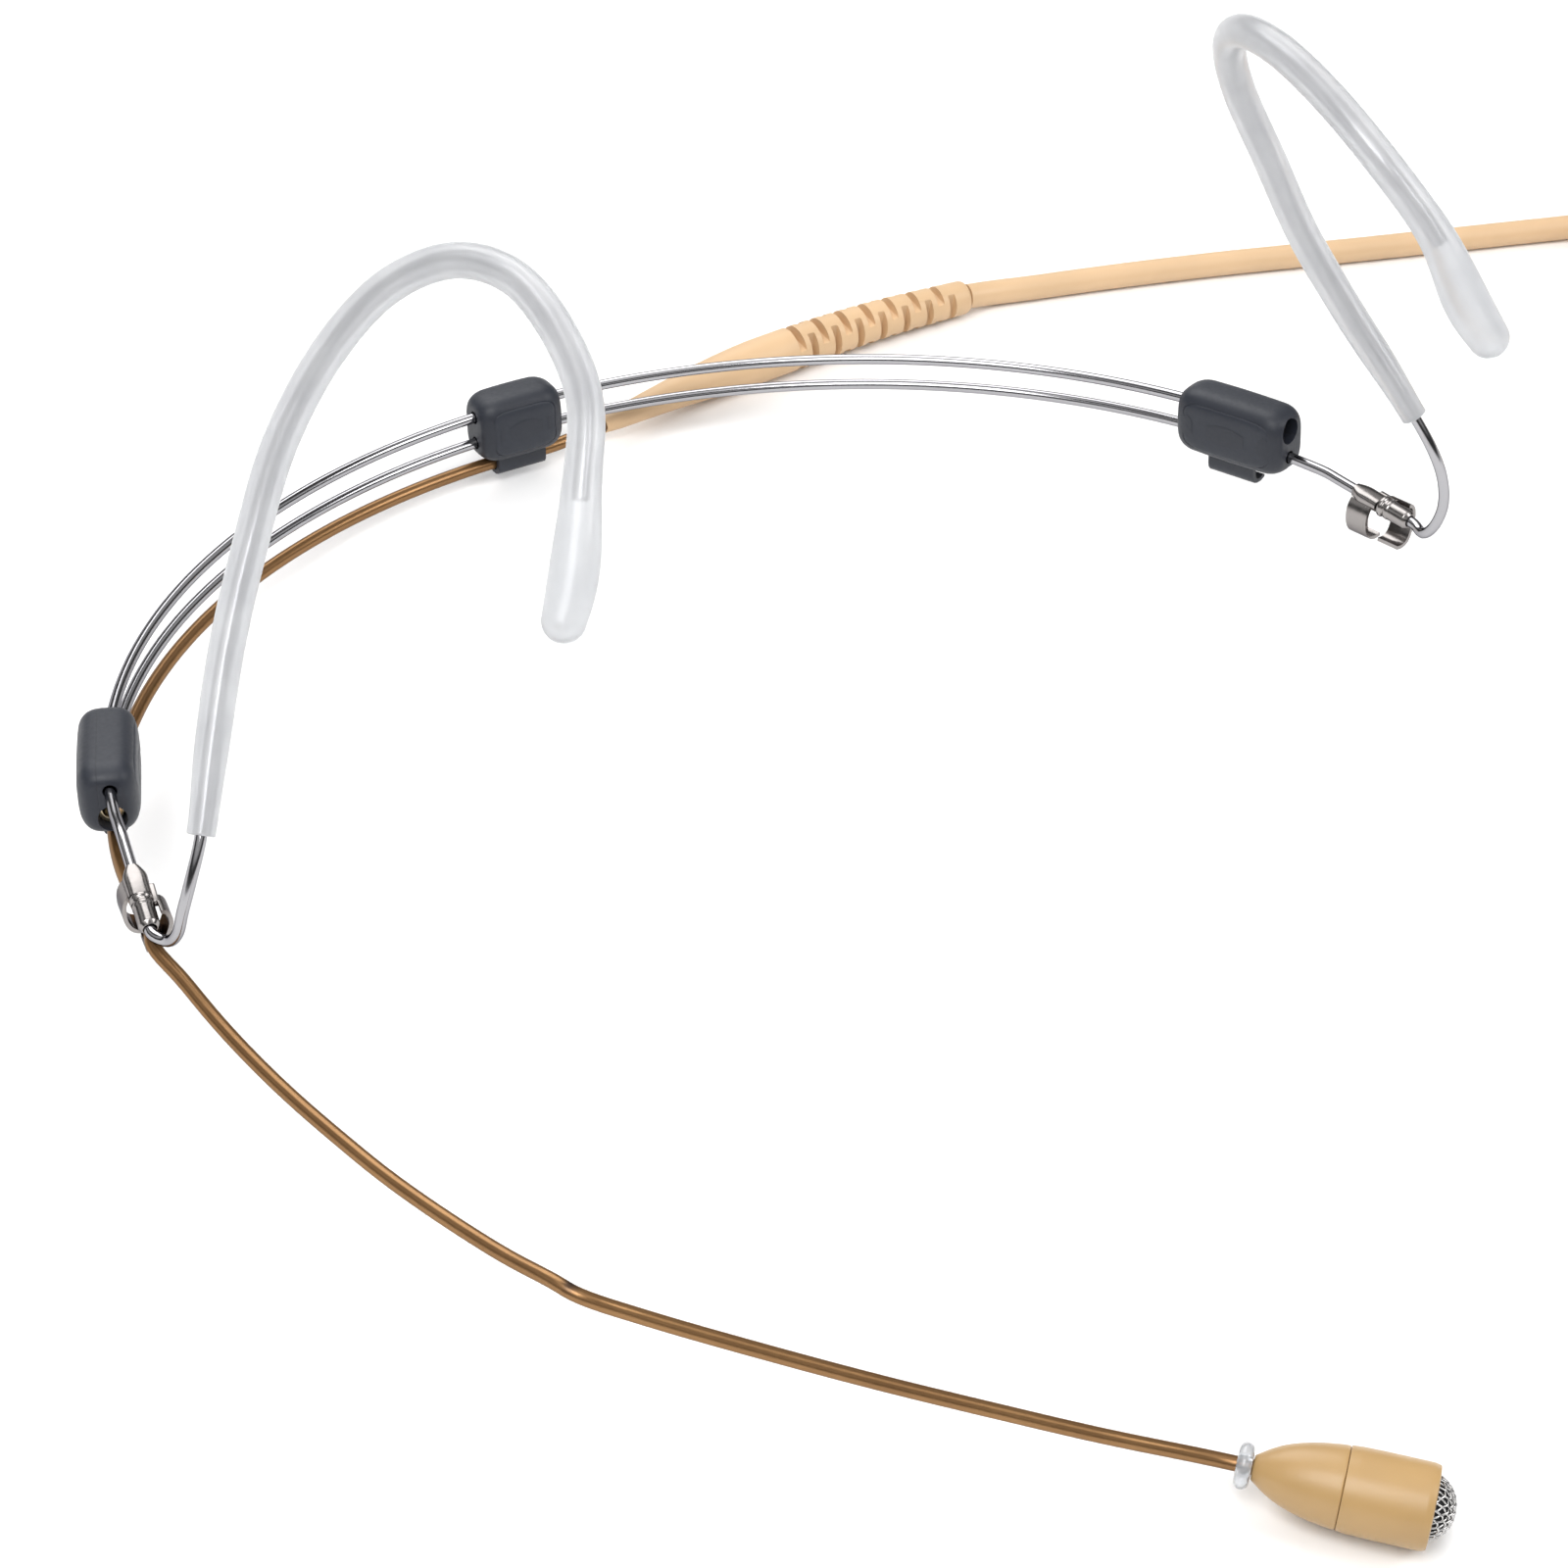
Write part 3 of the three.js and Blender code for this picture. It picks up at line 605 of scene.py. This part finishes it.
def plug_collar():
    teeth = 40
    outline = []
    for i in range(teeth * 4):
        a = 2 * math.pi * i / (teeth * 4)
        r = 4.12 + 0.14 * math.cos(a * teeth)
        outline.append((r * math.cos(a), r * math.sin(a)))
    bm = bmesh.new()
    levels = [(2.8, 20.3, 0), (3.7, 20.3, 0), (4.05, 20.6, 0), (1, 20.9, 1), (1, 25.6, 1),
              (4.05, 25.9, 0), (3.7, 26.3, 0), (2.8, 26.3, 0), (2.75, 26.0, 0), (2.75, 20.5, 0)]
    rings = []
    for r, x, toothed in levels:
        ring = []
        for i, (y, z) in enumerate(outline):
            a = 2 * math.pi * i / len(outline)
            p = (x, y, z) if toothed else (x, r * math.cos(a), r * math.sin(a))
            ring.append(bm.verts.new(p))
        rings.append(ring)
    return finish_mesh("plug_collar_knurled", skin(bm, rings, closed=True), plug_place(), 30)


def plug_pin():
    profile = [(0, 27.3), (1.75, 27.3), (1.75, 31.0), (1.66, 31.1), (1.66, 31.7), (1.75, 31.8),
               (1.75, 33.6), (1.66, 33.7), (1.66, 34.3), (1.75, 34.4), (1.75, 36.4),
               (1.2, 37.2), (1.3, 38.2), (1.62, 38.8), (1.3, 39.8), (0.4, 40.9), (0, 41.0)]
    return finish_mesh("plug_pin_turned", lathe(soften(profile, 0.08), 48), plug_place())


def coil_tie():
    """A soft band wrapped once around the bundle, drawn across the ring."""
    a = 200 * DEG
    cx, cy = COIL_AT
    out = Vector((math.cos(a), math.sin(a), 0))
    along = Vector((-math.sin(a), math.cos(a), 0))
    centre = Vector((cx, cy, 0)) + out * COIL_MID
    loop = []
    count = 40
    for i in range(count):
        t = 2 * math.pi * i / count
        r = 6.15
        rise = 5.55 + min(r * 0.96, 5.5) * math.sin(t)
        loop.append(centre + out * r * math.cos(t) + Vector((0, 0, rise)))
    bm = bmesh.new()
    section = ((-1, 0.1), (-0.9, 0), (0.9, 0), (1, 0.1), (0.9, 0.35), (-0.9, 0.35))
    rows = []
    for p in loop:
        inward = (centre + Vector((0, 0, 5.6)) - p).normalized()
        rows.append([bm.verts.new(p + along * s * 2.4 + inward * d) for s, d in section])
    skin(bm, rows, closed=True)
    for v in bm.verts:
        v.co.z = max(v.co.z, 0.05)
    return baked("coil_tie_band", bm, TABLE)


cord = cord_curve()
cord.data.materials.append(MATERIALS["cord_beige"])
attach(cord, "boom")
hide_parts("cord_lead", "cord_coil")
boot = dress(plug_boot(), "plug_boot", "boom")
shell = dress(plug_shell(), "plug_shell", "boom")
collar = dress(plug_collar(), "plug_collar", "plug_lock")
pin = dress(plug_pin(), "plug_pin", "boom")
tie = dress(coil_tie(), None, "boom", "plug_rubber")


# ---- band wires ----


def band_point(a, z, r=BAND_R):
    return Vector((r * math.cos(a), r * math.sin(a), z))


def bracket_place(angle, z):
    yaw = angle if math.cos(angle) > 0 else angle - math.pi
    return BAND @ Matrix.Translation(band_point(angle, z)) @ Matrix.Rotation(yaw, 4, "Z")


def bracket_point(angle, z, along):
    d = DROOP["far_side" if math.cos(angle) > 0 else "boom_side"] * DEG
    m = BAND.inverted() @ bracket_place(angle, z)
    return m @ Vector((0, -along * math.cos(d), -along * math.sin(d)))


def band_wire(name, start, end, z):
    pts = [band_point(start + (end - start) * i / 150, z) for i in range(151)]
    bend = catmull([pts[-4], pts[-1], bracket_point(end, z, 1.6), bracket_point(end, z, 3.4),
                    bracket_point(end, z, 6.0), bracket_point(end, z, BARREL_FROM + 1.6)], 6)
    pts = pts[:-4] + bend
    pts, radii = rounded_ends(pts, WIRE_R)
    return baked(name, pipe(pts, radii, 20), BAND)


dress(band_wire("band_wire_upper", RIGHT_CLAMP - 0.047, LEFT_BEND, WIRE_Z), "upper_band_wire",
      "boom_side_band")
dress(band_wire("band_wire_lower", LEFT_CLAMP + 0.047, RIGHT_BEND, -WIRE_Z), "lower_band_wire",
      "far_side_band")


# ---- clamps ----


def rounded_box(dx, dy, dz, r, segments=5):
    bm = bmesh.new()
    bmesh.ops.create_cube(bm, size=1, matrix=Matrix.Diagonal((dx, dy, dz, 1)))
    bmesh.ops.bevel(bm, geom=bm.edges[:], offset=r, segments=segments, profile=0.5, affect="EDGES")
    return bm


def arc_pipe(half, z, r):
    """A stretch of the band circle at the given height, seen from the clamp's own middle."""
    pts = [band_point(half * (i / 8 - 1), z) - Vector((BAND_R, 0, 0)) for i in range(17)]
    return pipe(pts, r, 28)


def clip_outline():
    """The hook that holds the boom: a flat jaw on the wearer's side, open to the outside."""
    hook = [(-1.55, -3.2), (-1.58, -4.8), (-1.5, -5.35), (-1.2, -5.8), (-0.6, -6.05), (0.2, -6.1),
            (0.85, -5.9), (1.0, -5.65)]
    back = [(0.68, -5.45), (0.1, -5.68), (-0.45, -5.62), (-0.82, -5.3), (-0.95, -4.8), (-0.92, -3.2)]
    return hook + back


def clamp_block(long):
    """A soft pillow of a block: full round edges, ends a little narrower than the middle."""
    bm = bmesh.new()
    across, along_n = 56, 40
    rows = []
    for i in range(along_n + 1):
        v = -math.cos(math.pi * i / along_n)
        y = long / 2 * signed_power(v, 0.75)
        edge = max(abs(y) - (long / 2 - 2.3), 0) / 2.3
        shrink = 2.3 * (1 - math.sqrt(max(1 - edge ** 2, 0))) * 0.58
        swell = 0.34 + 0.14 * (1 - (2 * y / long) ** 2)
        hx, hz = CLAMP_DEEP / 2 - shrink + swell, CLAMP_HIGH / 2 - shrink + swell
        ring = []
        for k in range(across):
            a = 2 * math.pi * (k + 0.5) / across
            ring.append(bm.verts.new((hx * signed_power(math.cos(a), 0.6), y,
                                      hz * signed_power(math.sin(a), 0.6))))
        rows.append(ring)
    return skin(bm, rows)


def pillow(long, high, grow):
    """Crowned panel with rounded corners, just proud of the clamp's inner face."""
    bm = bmesh.new()
    around, face = 72, -CLAMP_DEEP / 2 - 0.3
    levels = [(1, 0.75), (1, 0.25)]
    levels += [(math.cos(t * DEG) ** 0.35, 0.25 - 0.38 * math.sin(t * DEG)) for t in range(12, 90, 8)]
    rings = []
    for r, x in levels:
        ring = []
        for k in range(around):
            a = 2 * math.pi * (k + 0.5) / around
            y = (long / 2 + grow) * r * signed_power(math.cos(a), 0.42)
            z = (high / 2 + grow) * r * signed_power(math.sin(a), 0.42)
            ring.append(bm.verts.new((face + x - grow, y, z)))
        rings.append(ring)
    return skin(bm, rings)


def clamp_body(prefix, long, angle, bore_side):
    bm = clamp_block(long)
    half = 0.12
    cutters = [arc_pipe(half, WIRE_Z, HOLE_R), arc_pipe(half, -WIRE_Z, HOLE_R)]
    cutters.append(pillow(long - 2.3, 5.7, 0.03))
    if bore_side:
        end = long / 2 / BAND_R
        deep = 6.5 / BAND_R
        pts = [band_point(bore_side * (end + 0.01 - (deep + 0.01) * i / 8), -bore_side * WIRE_Z)
               - Vector((BAND_R, 0, 0)) for i in range(9)]
        cutters.append(pipe(pts, 1.5, 40))
    bm = carve(bm, cutters)
    jaw = with_bevel(prism(clip_outline(), -CLIP_LONG / 2, CLIP_LONG / 2), 0.12, 2, 50)
    add(bm, jaw)
    place = BAND @ Matrix.Rotation(angle, 4, "Z") @ Matrix.Translation((BAND_R, 0, 0))
    return finish_mesh(f"{prefix}_clamp_moulding", bm, place, 40)


def clamp_cover(prefix, long, angle):
    place = BAND @ Matrix.Rotation(angle, 4, "Z") @ Matrix.Translation((BAND_R, 0, 0))
    return finish_mesh(f"{prefix}_clamp_panel", pillow(long - 2.3, 5.7, 0), place, 50)


def ferrule(prefix, long, angle, side):
    y = side * (long / 2 - 3.25 - 0.6)
    bm = lathe(soften([(0.8, -1.8), (1.42, -1.8), (1.42, 2.2), (0.8, 2.2), (0.8, -1.8)], 0.1), 40)
    bmesh.ops.rotate(bm, cent=(0, 0, 0), matrix=Matrix.Rotation(math.pi / 2, 3, "Z"), verts=bm.verts)
    bmesh.ops.translate(bm, vec=(math.sqrt(BAND_R ** 2 - y * y) - BAND_R, y, -side * WIRE_Z),
                        verts=bm.verts)
    place = BAND @ Matrix.Rotation(angle, 4, "Z") @ Matrix.Translation((BAND_R, 0, 0))
    return finish_mesh(f"{prefix}_clamp_sleeve", bm, place)


for prefix, long, angle, side, body in (
        ("left", SIDE_CLAMP_LONG, LEFT_CLAMP, 1, "far_side_band"),
        ("right", SIDE_CLAMP_LONG, RIGHT_CLAMP, -1, "boom_side_band"),
        ("middle", MIDDLE_CLAMP_LONG, MIDDLE_CLAMP, 0, "middle_clamp")):
    dress(clamp_body(prefix, long, angle, side), f"{prefix}_clamp_body", body)
    dress(clamp_cover(prefix, long, angle), f"{prefix}_clamp_cover", body)
    if side:
        dress(ferrule(prefix, long, angle, side), f"{prefix}_clamp_ferrule", body)


# ---- brackets ----


def strip_outline(points, thick, steps=30):
    line = spaced(catmull([(x, z, 0) for x, z in points], 8), steps)
    left, right_side = [], []
    for p, (t, _, _) in zip(line, ring_frames(line)):
        n = Vector((-t.y, t.x, 0)) * thick / 2
        left.append((p.x + n.x, p.y + n.y))
        right_side.append((p.x - n.x, p.y - n.y))
    return left + right_side[::-1]


def claw(side, y, droop, channel, forward):
    """A bent strap under the leaf; forward carries it past the barrel on a short side strip."""
    top = -(y + 1.5) * math.tan(droop) - 0.1
    upper = [(0.3, top), (0.95, top - 0.15), (1.5, top - 0.75), (1.78, (top + channel) / 2)]
    lower = [(1.7, channel + 0.1), (1.1, channel - 0.95), (0.25, channel - 1.28),
             (-0.55, channel - 1.2)]
    if forward:
        top = -(y + 1.5 + forward) * math.tan(droop) + 0.5
        upper = [(1.28, top), (1.6, top - 0.05), (2.0, top - 0.5), (2.15, (top + channel) / 2)]
    outline = strip_outline([(side * x, z) for x, z in upper + lower], 0.42)
    bm = prism(outline, -y - 2.9 - forward, -y - forward)
    with_bevel(bm, 0.1, 2, 50)
    if forward:
        strip = rounded_box(0.62, 2.4, 0.9, 0.16, 3)
        tilt = Matrix.Rotation(droop, 3, "X")
        bmesh.ops.rotate(strip, cent=(0, 0, 0), matrix=tilt, verts=strip.verts)
        place = (side * 1.2, -7.9, -7.9 * math.tan(droop) + 0.1)
        bmesh.ops.translate(strip, vec=place, verts=strip.verts)
        add(bm, strip)
    bmesh.ops.translate(bm, vec=(0.1, 0, 0), verts=bm.verts)
    return bm


def leaf(droop):
    """A short pressed plate over the wire: crowned above, swelling quickly from the wire."""
    bm = bmesh.new()
    rows = []
    rows_n, cols = 28, 20
    for i in range(rows_n + 1):
        u = i / rows_n
        y = -4.3 - 3.75 * u
        half = 0.68 + 0.62 * math.sin(math.pi / 2 * min(u * 2.4, 1)) - 0.12 * u
        ring = []
        for k in range(cols):
            a = 2 * math.pi * k / cols
            high = 0.74 + 0.08 * math.sin(math.pi * u)
            ring.append(bm.verts.new((half * signed_power(math.cos(a), 0.7), y,
                                      high * signed_power(math.sin(a), 0.75))))
        rows.append(ring)
    skin(bm, rows)
    bmesh.ops.rotate(bm, cent=(0, 0, 0), matrix=Matrix.Rotation(droop, 3, "X"), verts=bm.verts)
    return bm


def bracket(prefix, angle, z):
    droop = DROOP[prefix] * DEG
    bm = leaf(droop)
    add(bm, claw(-1, 4.6, droop, CHANNEL_Z[prefix], 0))
    add(bm, claw(1, 4.9, droop, CHANNEL_Z[prefix], 3.2))
    return finish_mesh(f"{prefix}_boom_clip", bm, bracket_place(angle, z), 42)


def barrel(prefix, angle, z):
    r = BARREL_R
    profile = [(0.68, 0), (r + 0.05, 0), (r + 0.12, 0.12), (r + 0.12, 0.42), (r - 0.02, 0.55),
               (r - 0.02, 0.85), (r + 0.06, 1.0), (r + 0.06, 1.25), (r, 1.4), (r, 3.6),
               (r - 0.3, 4.0), (0.68, 4.0), (0.68, 0)]
    bm = lathe(soften(profile, 0.08), 48)
    turn_m = Matrix.Rotation(DROOP[prefix] * DEG, 3, "X") @ Matrix.Rotation(-math.pi / 2, 3, "Z")
    d = DROOP[prefix] * DEG
    bmesh.ops.transform(bm, matrix=turn_m.to_4x4(), verts=bm.verts)
    bmesh.ops.translate(bm, vec=(0, -BARREL_FROM * math.cos(d), -BARREL_FROM * math.sin(d)),
                        verts=bm.verts)
    return finish_mesh(f"{prefix}_crimp_barrel", bm, bracket_place(angle, z))


for prefix, angle, z, body in (("boom_side", LEFT_BEND, WIRE_Z, "boom_side_band"),
                               ("far_side", RIGHT_BEND, -WIRE_Z, "far_side_band")):
    dress(bracket(prefix, angle, z), f"{prefix}_bracket", body)
    dress(barrel(prefix, angle, z), f"{prefix}_barrel", body)


# ---- ear hooks ----
HOOK_ROUTE = [(0.7, -2.7, -0.1), (1.15, -4.3, 1.5), (1.6, -5.3, 4.5), (2.8, -5.4, 8),
              (4.5, -4.5, 11.5), (8, -0.5, 18), (12.5, 4.5, 25.5), (17.5, 8.5, 33.5),
              (22.5, 11, 42), (28.5, 11.5, 50), (34, 9, 56.5), (38.5, 3.5, 60.5), (41, -4, 61.5),
              (41.5, -12, 59.5), (40.5, -19.5, 55.5), (37, -25, 49.5), (34, -28.5, 43),
              (31, -31, 38.5)]
HOOK_TUBE_FROM = {"left": 0.138, "right": 0.168}
HOOK_WIRE_TO = 0.9


def hook_curve(angle, z, side, turned):
    mouth = BARREL_FROM + BARREL_LONG
    start = bracket_point(angle, z, mouth)
    m = Euler(turned, "ZXY").to_matrix()
    stub = [bracket_point(angle, z, a) for a in (mouth - 1.6, mouth - 0.4, mouth + 0.6)]
    pts = []
    for p in HOOK_ROUTE:
        q = m @ Vector(p)
        pts.append(Vector((-side * q.x, q.y, q.z)) + start)
    return catmull(stub + pts, 14)


def hook_wire(prefix, line):
    start = HOOK_TUBE_FROM[prefix]
    pts = spaced(line, 40, 0, start) + spaced(line, 70, start, HOOK_WIRE_TO)[1:]
    pts, radii = rounded_ends(pts, WIRE_R, 0.5)
    return baked(f"{prefix}_hook_spring_wire", pipe(pts, radii, 20), BAND)


def hook_tube(prefix, line):
    count = 110
    pts = spaced(line, count, HOOK_TUBE_FROM[prefix], 0.985)
    radii = []
    for i in range(count + 1):
        u = i / count
        neck = 0.35 * math.exp(-((u / 0.06) ** 2))
        bulb = (BULB_R - TUBE_R) * math.exp(-(((u - 0.96) / 0.055) ** 2))
        radii.append(TUBE_R - neck + bulb)
    ahead = (pts[-1] - pts[-3]).normalized()
    tip, tip_r = pts[-1], radii[-1]
    for i in range(1, 11):
        t = i / 10 * math.pi / 2
        pts.append(tip + ahead * 2.1 * math.sin(t))
        radii.append(max(tip_r * math.cos(t), 0.02))
    first = (pts[0] - pts[1]).normalized()
    pts = [pts[0] + first * 0.12] + pts
    radii = [radii[0] - 0.2] + radii
    return baked(f"{prefix}_hook_sleeve", pipe(pts, radii, 32), BAND)


RIGHT_TURN = (0.8 * DEG, -10.4 * DEG, -10.3 * DEG)
for prefix, angle, z, side, turned in (("left", LEFT_BEND, WIRE_Z, -1, (0, 0, 0)),
                                       ("right", RIGHT_BEND, -WIRE_Z, 1, RIGHT_TURN)):
    line = hook_curve(angle, z, side, turned)
    dress(hook_wire(prefix, line), f"{prefix}_hook_wire", f"{prefix}_ear_hook")
    dress(hook_tube(prefix, line), f"{prefix}_hook_tube", f"{prefix}_ear_hook")


# ---- boom ----
RELIEF_ENTRY = [(21.5, 75.4, 2.75), (18, 74.78, 2.75), (14.5, 74.13, 2.75), (11.6, 73.6, 2.75)]
BOOM_FRONT = [(-75.9, 2.5, -3.6), (-75.1, -2.5, -4.9), (-74.2, -8, -6.6), (-73.2, -14, -7.9),
              (-72, -20.5, -8.9), (-70.6, -27.5, -9.6), (-68.9, -34.5, -10.4), (-66.9, -42, -10.8),
              (-64.5, -50, -11), (-62.6, -56, -10.7), (-61.2, -58.5, -11.3), (-56, -61.3, -14.1),
              (-46.7, -66.4, -18.4), (-37.3, -71.5, -22.5), (-27.8, -76.5, -26.4),
              (-19.5, -81, -29.6)]


def boom():
    to_band = BAND.inverted() @ TABLE
    pts = [to_band @ Vector(p) for p in RELIEF_ENTRY]
    steps = 28
    end = 175.5 * DEG
    for i in range(steps + 1):
        a = BOOM_START + (end - BOOM_START) * i / steps
        t = min(max((a / DEG - 161) / 12, 0), 1)
        pts.append(band_point(a, BOOM_Z + 1.2 * t * t * (3 - 2 * t)))
    pts += [Vector(p) for p in BOOM_FRONT]
    nose = Vector(CAPSULE_NOSE)
    ahead = Vector((math.cos(CAPSULE_HEADING), math.sin(CAPSULE_HEADING), 0))
    for step in (-3.5, 2.2):
        pts.append(to_band @ (nose + ahead * step))
    line = catmull(pts, 6)
    return baked("boom_tube_drawn", pipe(line, BOOM_R, 24), BAND)


dress(boom(), "boom_tube", "boom")


# ---- capsule ----
CAPSULE = TABLE @ Matrix.Translation(CAPSULE_NOSE) @ Matrix.Rotation(CAPSULE_HEADING, 4, "Z")


def capsule_piece(name, profile, node, round_by=0.15):
    obj = finish_mesh(name, lathe(soften(profile, round_by, 4), 96), CAPSULE, 45)
    return dress(obj, node, "boom")


capsule_piece("capsule_bell", [(0.82, 0), (1.15, 0), (1.5, 0.5), (2.05, 1.3), (2.55, 2.2),
                               (2.95, 3.15), (3.28, 4.2), (3.55, 5.3), (3.76, 6.5), (3.92, 7.7),
                               (3.98, 8.5), (3.4, 8.5), (3.2, 6.2), (2.7, 4.2), (1.9, 3.0),
                               (0.82, 2.4), (0.82, 0)],
              "capsule_rear_shell", 0.22)
capsule_piece("capsule_barrel", [(3.55, 8.53), (3.97, 8.53), (4.01, 8.58), (4.1, 9.6), (4.15, 12),
                                 (4.14, 16.3), (4.0, 16.95), (3.3, 17.05), (3.18, 16.9),
                                 (3.18, 15.7), (3.5, 15.3), (3.55, 8.53)],
              "capsule_front_sleeve", 0.12)


def dome_x(y, z, lift=0.0):
    """Height of the grille's dome over the capsule's axis."""
    r = min(math.hypot(y, z) / 3.12, 1.0)
    return 16.4 + 2.45 * (1 - r ** 2.3) ** 0.62 + lift


def grille():
    """Woven wires over the dome, one family over and the other under at each crossing."""
    bm = bmesh.new()
    pitch, wire, limit = 0.52, 0.115, 3.05
    count = int(limit / pitch)
    for family in (0, 1):
        for n in range(-count, count + 1):
            at = n * pitch
            reach = math.sqrt(max(limit ** 2 - at ** 2, 0))
            steps = max(int(reach * 2 / 0.09), 4)
            pts = []
            for i in range(steps + 1):
                u = -reach + 2 * reach * i / steps
                y, z = (at, u) if family else (u, at)
                wave = math.cos(math.pi * (u / pitch + n + family))
                pts.append(Vector((dome_x(y, z, 0.085 * wave), y, z)))
            add(bm, pipe(pts, wire, 6))
    return finish_mesh("capsule_wire_dome", bm, CAPSULE, 80)


dress(grille(), "capsule_grille", "boom")
# A dark disc just under the woven grille: painted shade behind the wires, where the capsule's inside
# lies in shade.
shade_disc_profile = [(0, 16.2), (3.1, 16.2)]
for i in range(13):
    r = 3.1 * (1 - i / 12)
    shade_disc_profile.append((r, dome_x(r, 0, -0.3)))
grille_shade_disc = finish_mesh("capsule_painted_shade_disc", lathe(shade_disc_profile, 64), CAPSULE, 45)
dress(grille_shade_disc, "capsule_grille", "boom")
grille_shade_disc.data.materials[0] = GRILLE_SHADE
capsule_piece("capsule_insert", [(0, 10.2), (3.0, 10.2), (3.4, 10.6), (3.4, 14.6), (3.0, 15.0),
                                 (0, 15.0)], "capsule_element")
capsule_piece("capsule_disc", [(0, 9.0), (3.35, 9.0), (3.35, 9.8), (0, 9.8)],
              "capsule_contact_disc")
ring_turns = [2 * math.pi * i / 20 for i in range(21)]
ring_profile = [(1.52 + 0.74 * math.cos(t), -0.8 + 0.74 * math.sin(t)) for t in ring_turns]
ring = finish_mesh("capsule_clear_ring", lathe(ring_profile, 48), CAPSULE, 60)
dress(ring, "capsule_retaining_ring", "retaining_ring")


# ---- strain relief ----
RELIEF_ROUTE = [(11.6, 73.6, 2.75), (24.0, 75.8, 2.75), (36.0, 77.2, 2.75), (50.0, 78.2, 2.75),
                (63.4, 78.5, 2.3)]


def strain_relief():
    profile = [(0.84, 0), (1.0, 0), (1.12, 1), (1.25, 2), (1.55, 6), (1.85, 10), (2.15, 13.6),
               (2.4, 17), (2.56, 19.6), (2.65, 22), (2.65, 26), (2.6, 30), (2.48, 35), (2.35, 40),
               (2.24, 44),
               (2.15, 48), (2.05, 51.2), (1.9, RELIEF_LONG), (0, RELIEF_LONG)]
    inner = [(0, 14), (0.84, 14), (0.84, 0)]
    bm = lathe(soften(profile, 0.5, 3) + inner, 56)
    cutters = []
    for i in range(7):
        x = 27.4 + i * 3.3
        for side in (1, -1):
            for at, size in (((x, 0, side * 2.1), (0.95, 6, 2)),
                             ((x + 1.65, side * 2.1, 0), (0.95, 2, 6))):
                cube = rounded_box(*size, 0.18, 2)
                bmesh.ops.translate(cube, vec=at, verts=cube.verts)
                cutters.append(cube)
    bm = carve(bm, cutters)
    bmesh.ops.subdivide_edges(bm, edges=[e for e in bm.edges if e.calc_length() > 2.2], cuts=2)
    line = spaced(catmull(RELIEF_ROUTE, 20), 200)
    frames = ring_frames(line)
    for v in bm.verts:
        s = min(max(v.co.x / RELIEF_LONG, 0), 1) * 200
        i = min(int(s), 199)
        t = frames[i][0]
        p = line[i].lerp(line[i + 1], s - i)
        side = Vector((0, 0, 1)).cross(t).normalized()
        v.co = p + side * v.co.y + t.cross(side) * v.co.z
    return baked("strain_relief_moulding", bm, TABLE)


dress(strain_relief(), "strain_relief", "boom")


# ---- floor, light ----
FLOOR_HALF = 3.0
LIGHT_AIM = (0, 0, 0.03)
SURROUND_LEVEL = 1.5       # what the camera sees behind the floor
SKY_STRENGTH = 0.62
# Light and dark bands from below to above the object, so that bright metal has something to mirror.
SKY_BANDS = ((0.0, 0.9), (0.10, 0.10), (0.30, 0.07), (0.42, 0.9), (0.60, 1.0), (0.68, 0.12),
             (0.80, 0.10), (0.88, 1.6), (1.0, 1.8))
# name, position, width in metres, power in watts
LIGHTS = (("key", (-0.45, -0.3, 0.85), 0.6, 7),
          ("fill", (0.7, -0.5, 0.75), 0.5, 4.5),
          ("back_light", (0.1, 0.8, 0.75), 0.8, 6.5))


def floor():
    mesh = bpy.data.meshes.new("floor")
    s = FLOOR_HALF
    mesh.from_pydata([(-s, -s, 0), (s, -s, 0), (s, s, 0), (-s, s, 0)], [], [(0, 1, 2, 3)])
    obj = bpy.data.objects.new("floor", mesh)
    bpy.context.scene.collection.objects.link(obj)
    m = Mat("floor_white", Roughness=0.9, Specular_IOR_Level=0.1)
    white = m.ramp(m.noise(3.0, 2), (0.3, (0.93, 0.93, 0.93)), (0.7, (0.95, 0.95, 0.95)))
    m.set("Base Color", white)
    obj.data.materials.append(m.mat)


def area(name, at, size, power):
    data = bpy.data.lights.new(name, "AREA")
    data.shape = "SQUARE"
    data.size = size
    data.energy = power
    obj = bpy.data.objects.new(name, data)
    bpy.context.scene.collection.objects.link(obj)
    obj.location = at
    obj.rotation_euler = (Vector(LIGHT_AIM) - Vector(at)).to_track_quat("-Z", "Y").to_euler()


def sky():
    """Banded surroundings for reflections; the camera itself sees a plain pale one."""
    world = bpy.data.worlds.new("studio")
    bpy.context.scene.world = world
    world.use_nodes = True
    tree = world.node_tree
    where = tree.nodes.new("ShaderNodeTexCoord")
    parts = tree.nodes.new("ShaderNodeSeparateXYZ")
    tree.links.new(where.outputs["Generated"], parts.inputs[0])
    ramp = tree.nodes.new("ShaderNodeValToRGB")
    tree.links.new(parts.outputs["Z"], ramp.inputs["Fac"])
    while len(ramp.color_ramp.elements) < len(SKY_BANDS):
        ramp.color_ramp.elements.new(0.5)
    for element, (at, level) in zip(ramp.color_ramp.elements, SKY_BANDS):
        element.position = at
        element.color = (level, level, level, 1)
    rays = tree.nodes.new("ShaderNodeLightPath")
    seen = tree.nodes.new("ShaderNodeMix")
    seen.data_type = "RGBA"
    tree.links.new(rays.outputs["Is Camera Ray"], seen.inputs["Factor"])
    tree.links.new(ramp.outputs["Color"], seen.inputs[6])
    seen.inputs[7].default_value = (SURROUND_LEVEL, SURROUND_LEVEL, SURROUND_LEVEL, 1)
    background = tree.nodes["Background"]
    tree.links.new(seen.outputs[2], background.inputs["Color"])
    background.inputs["Strength"].default_value = SKY_STRENGTH


floor()
bpy.context.scene.view_settings.view_transform = "Standard"
sky()
for light in LIGHTS:
    area(*light)
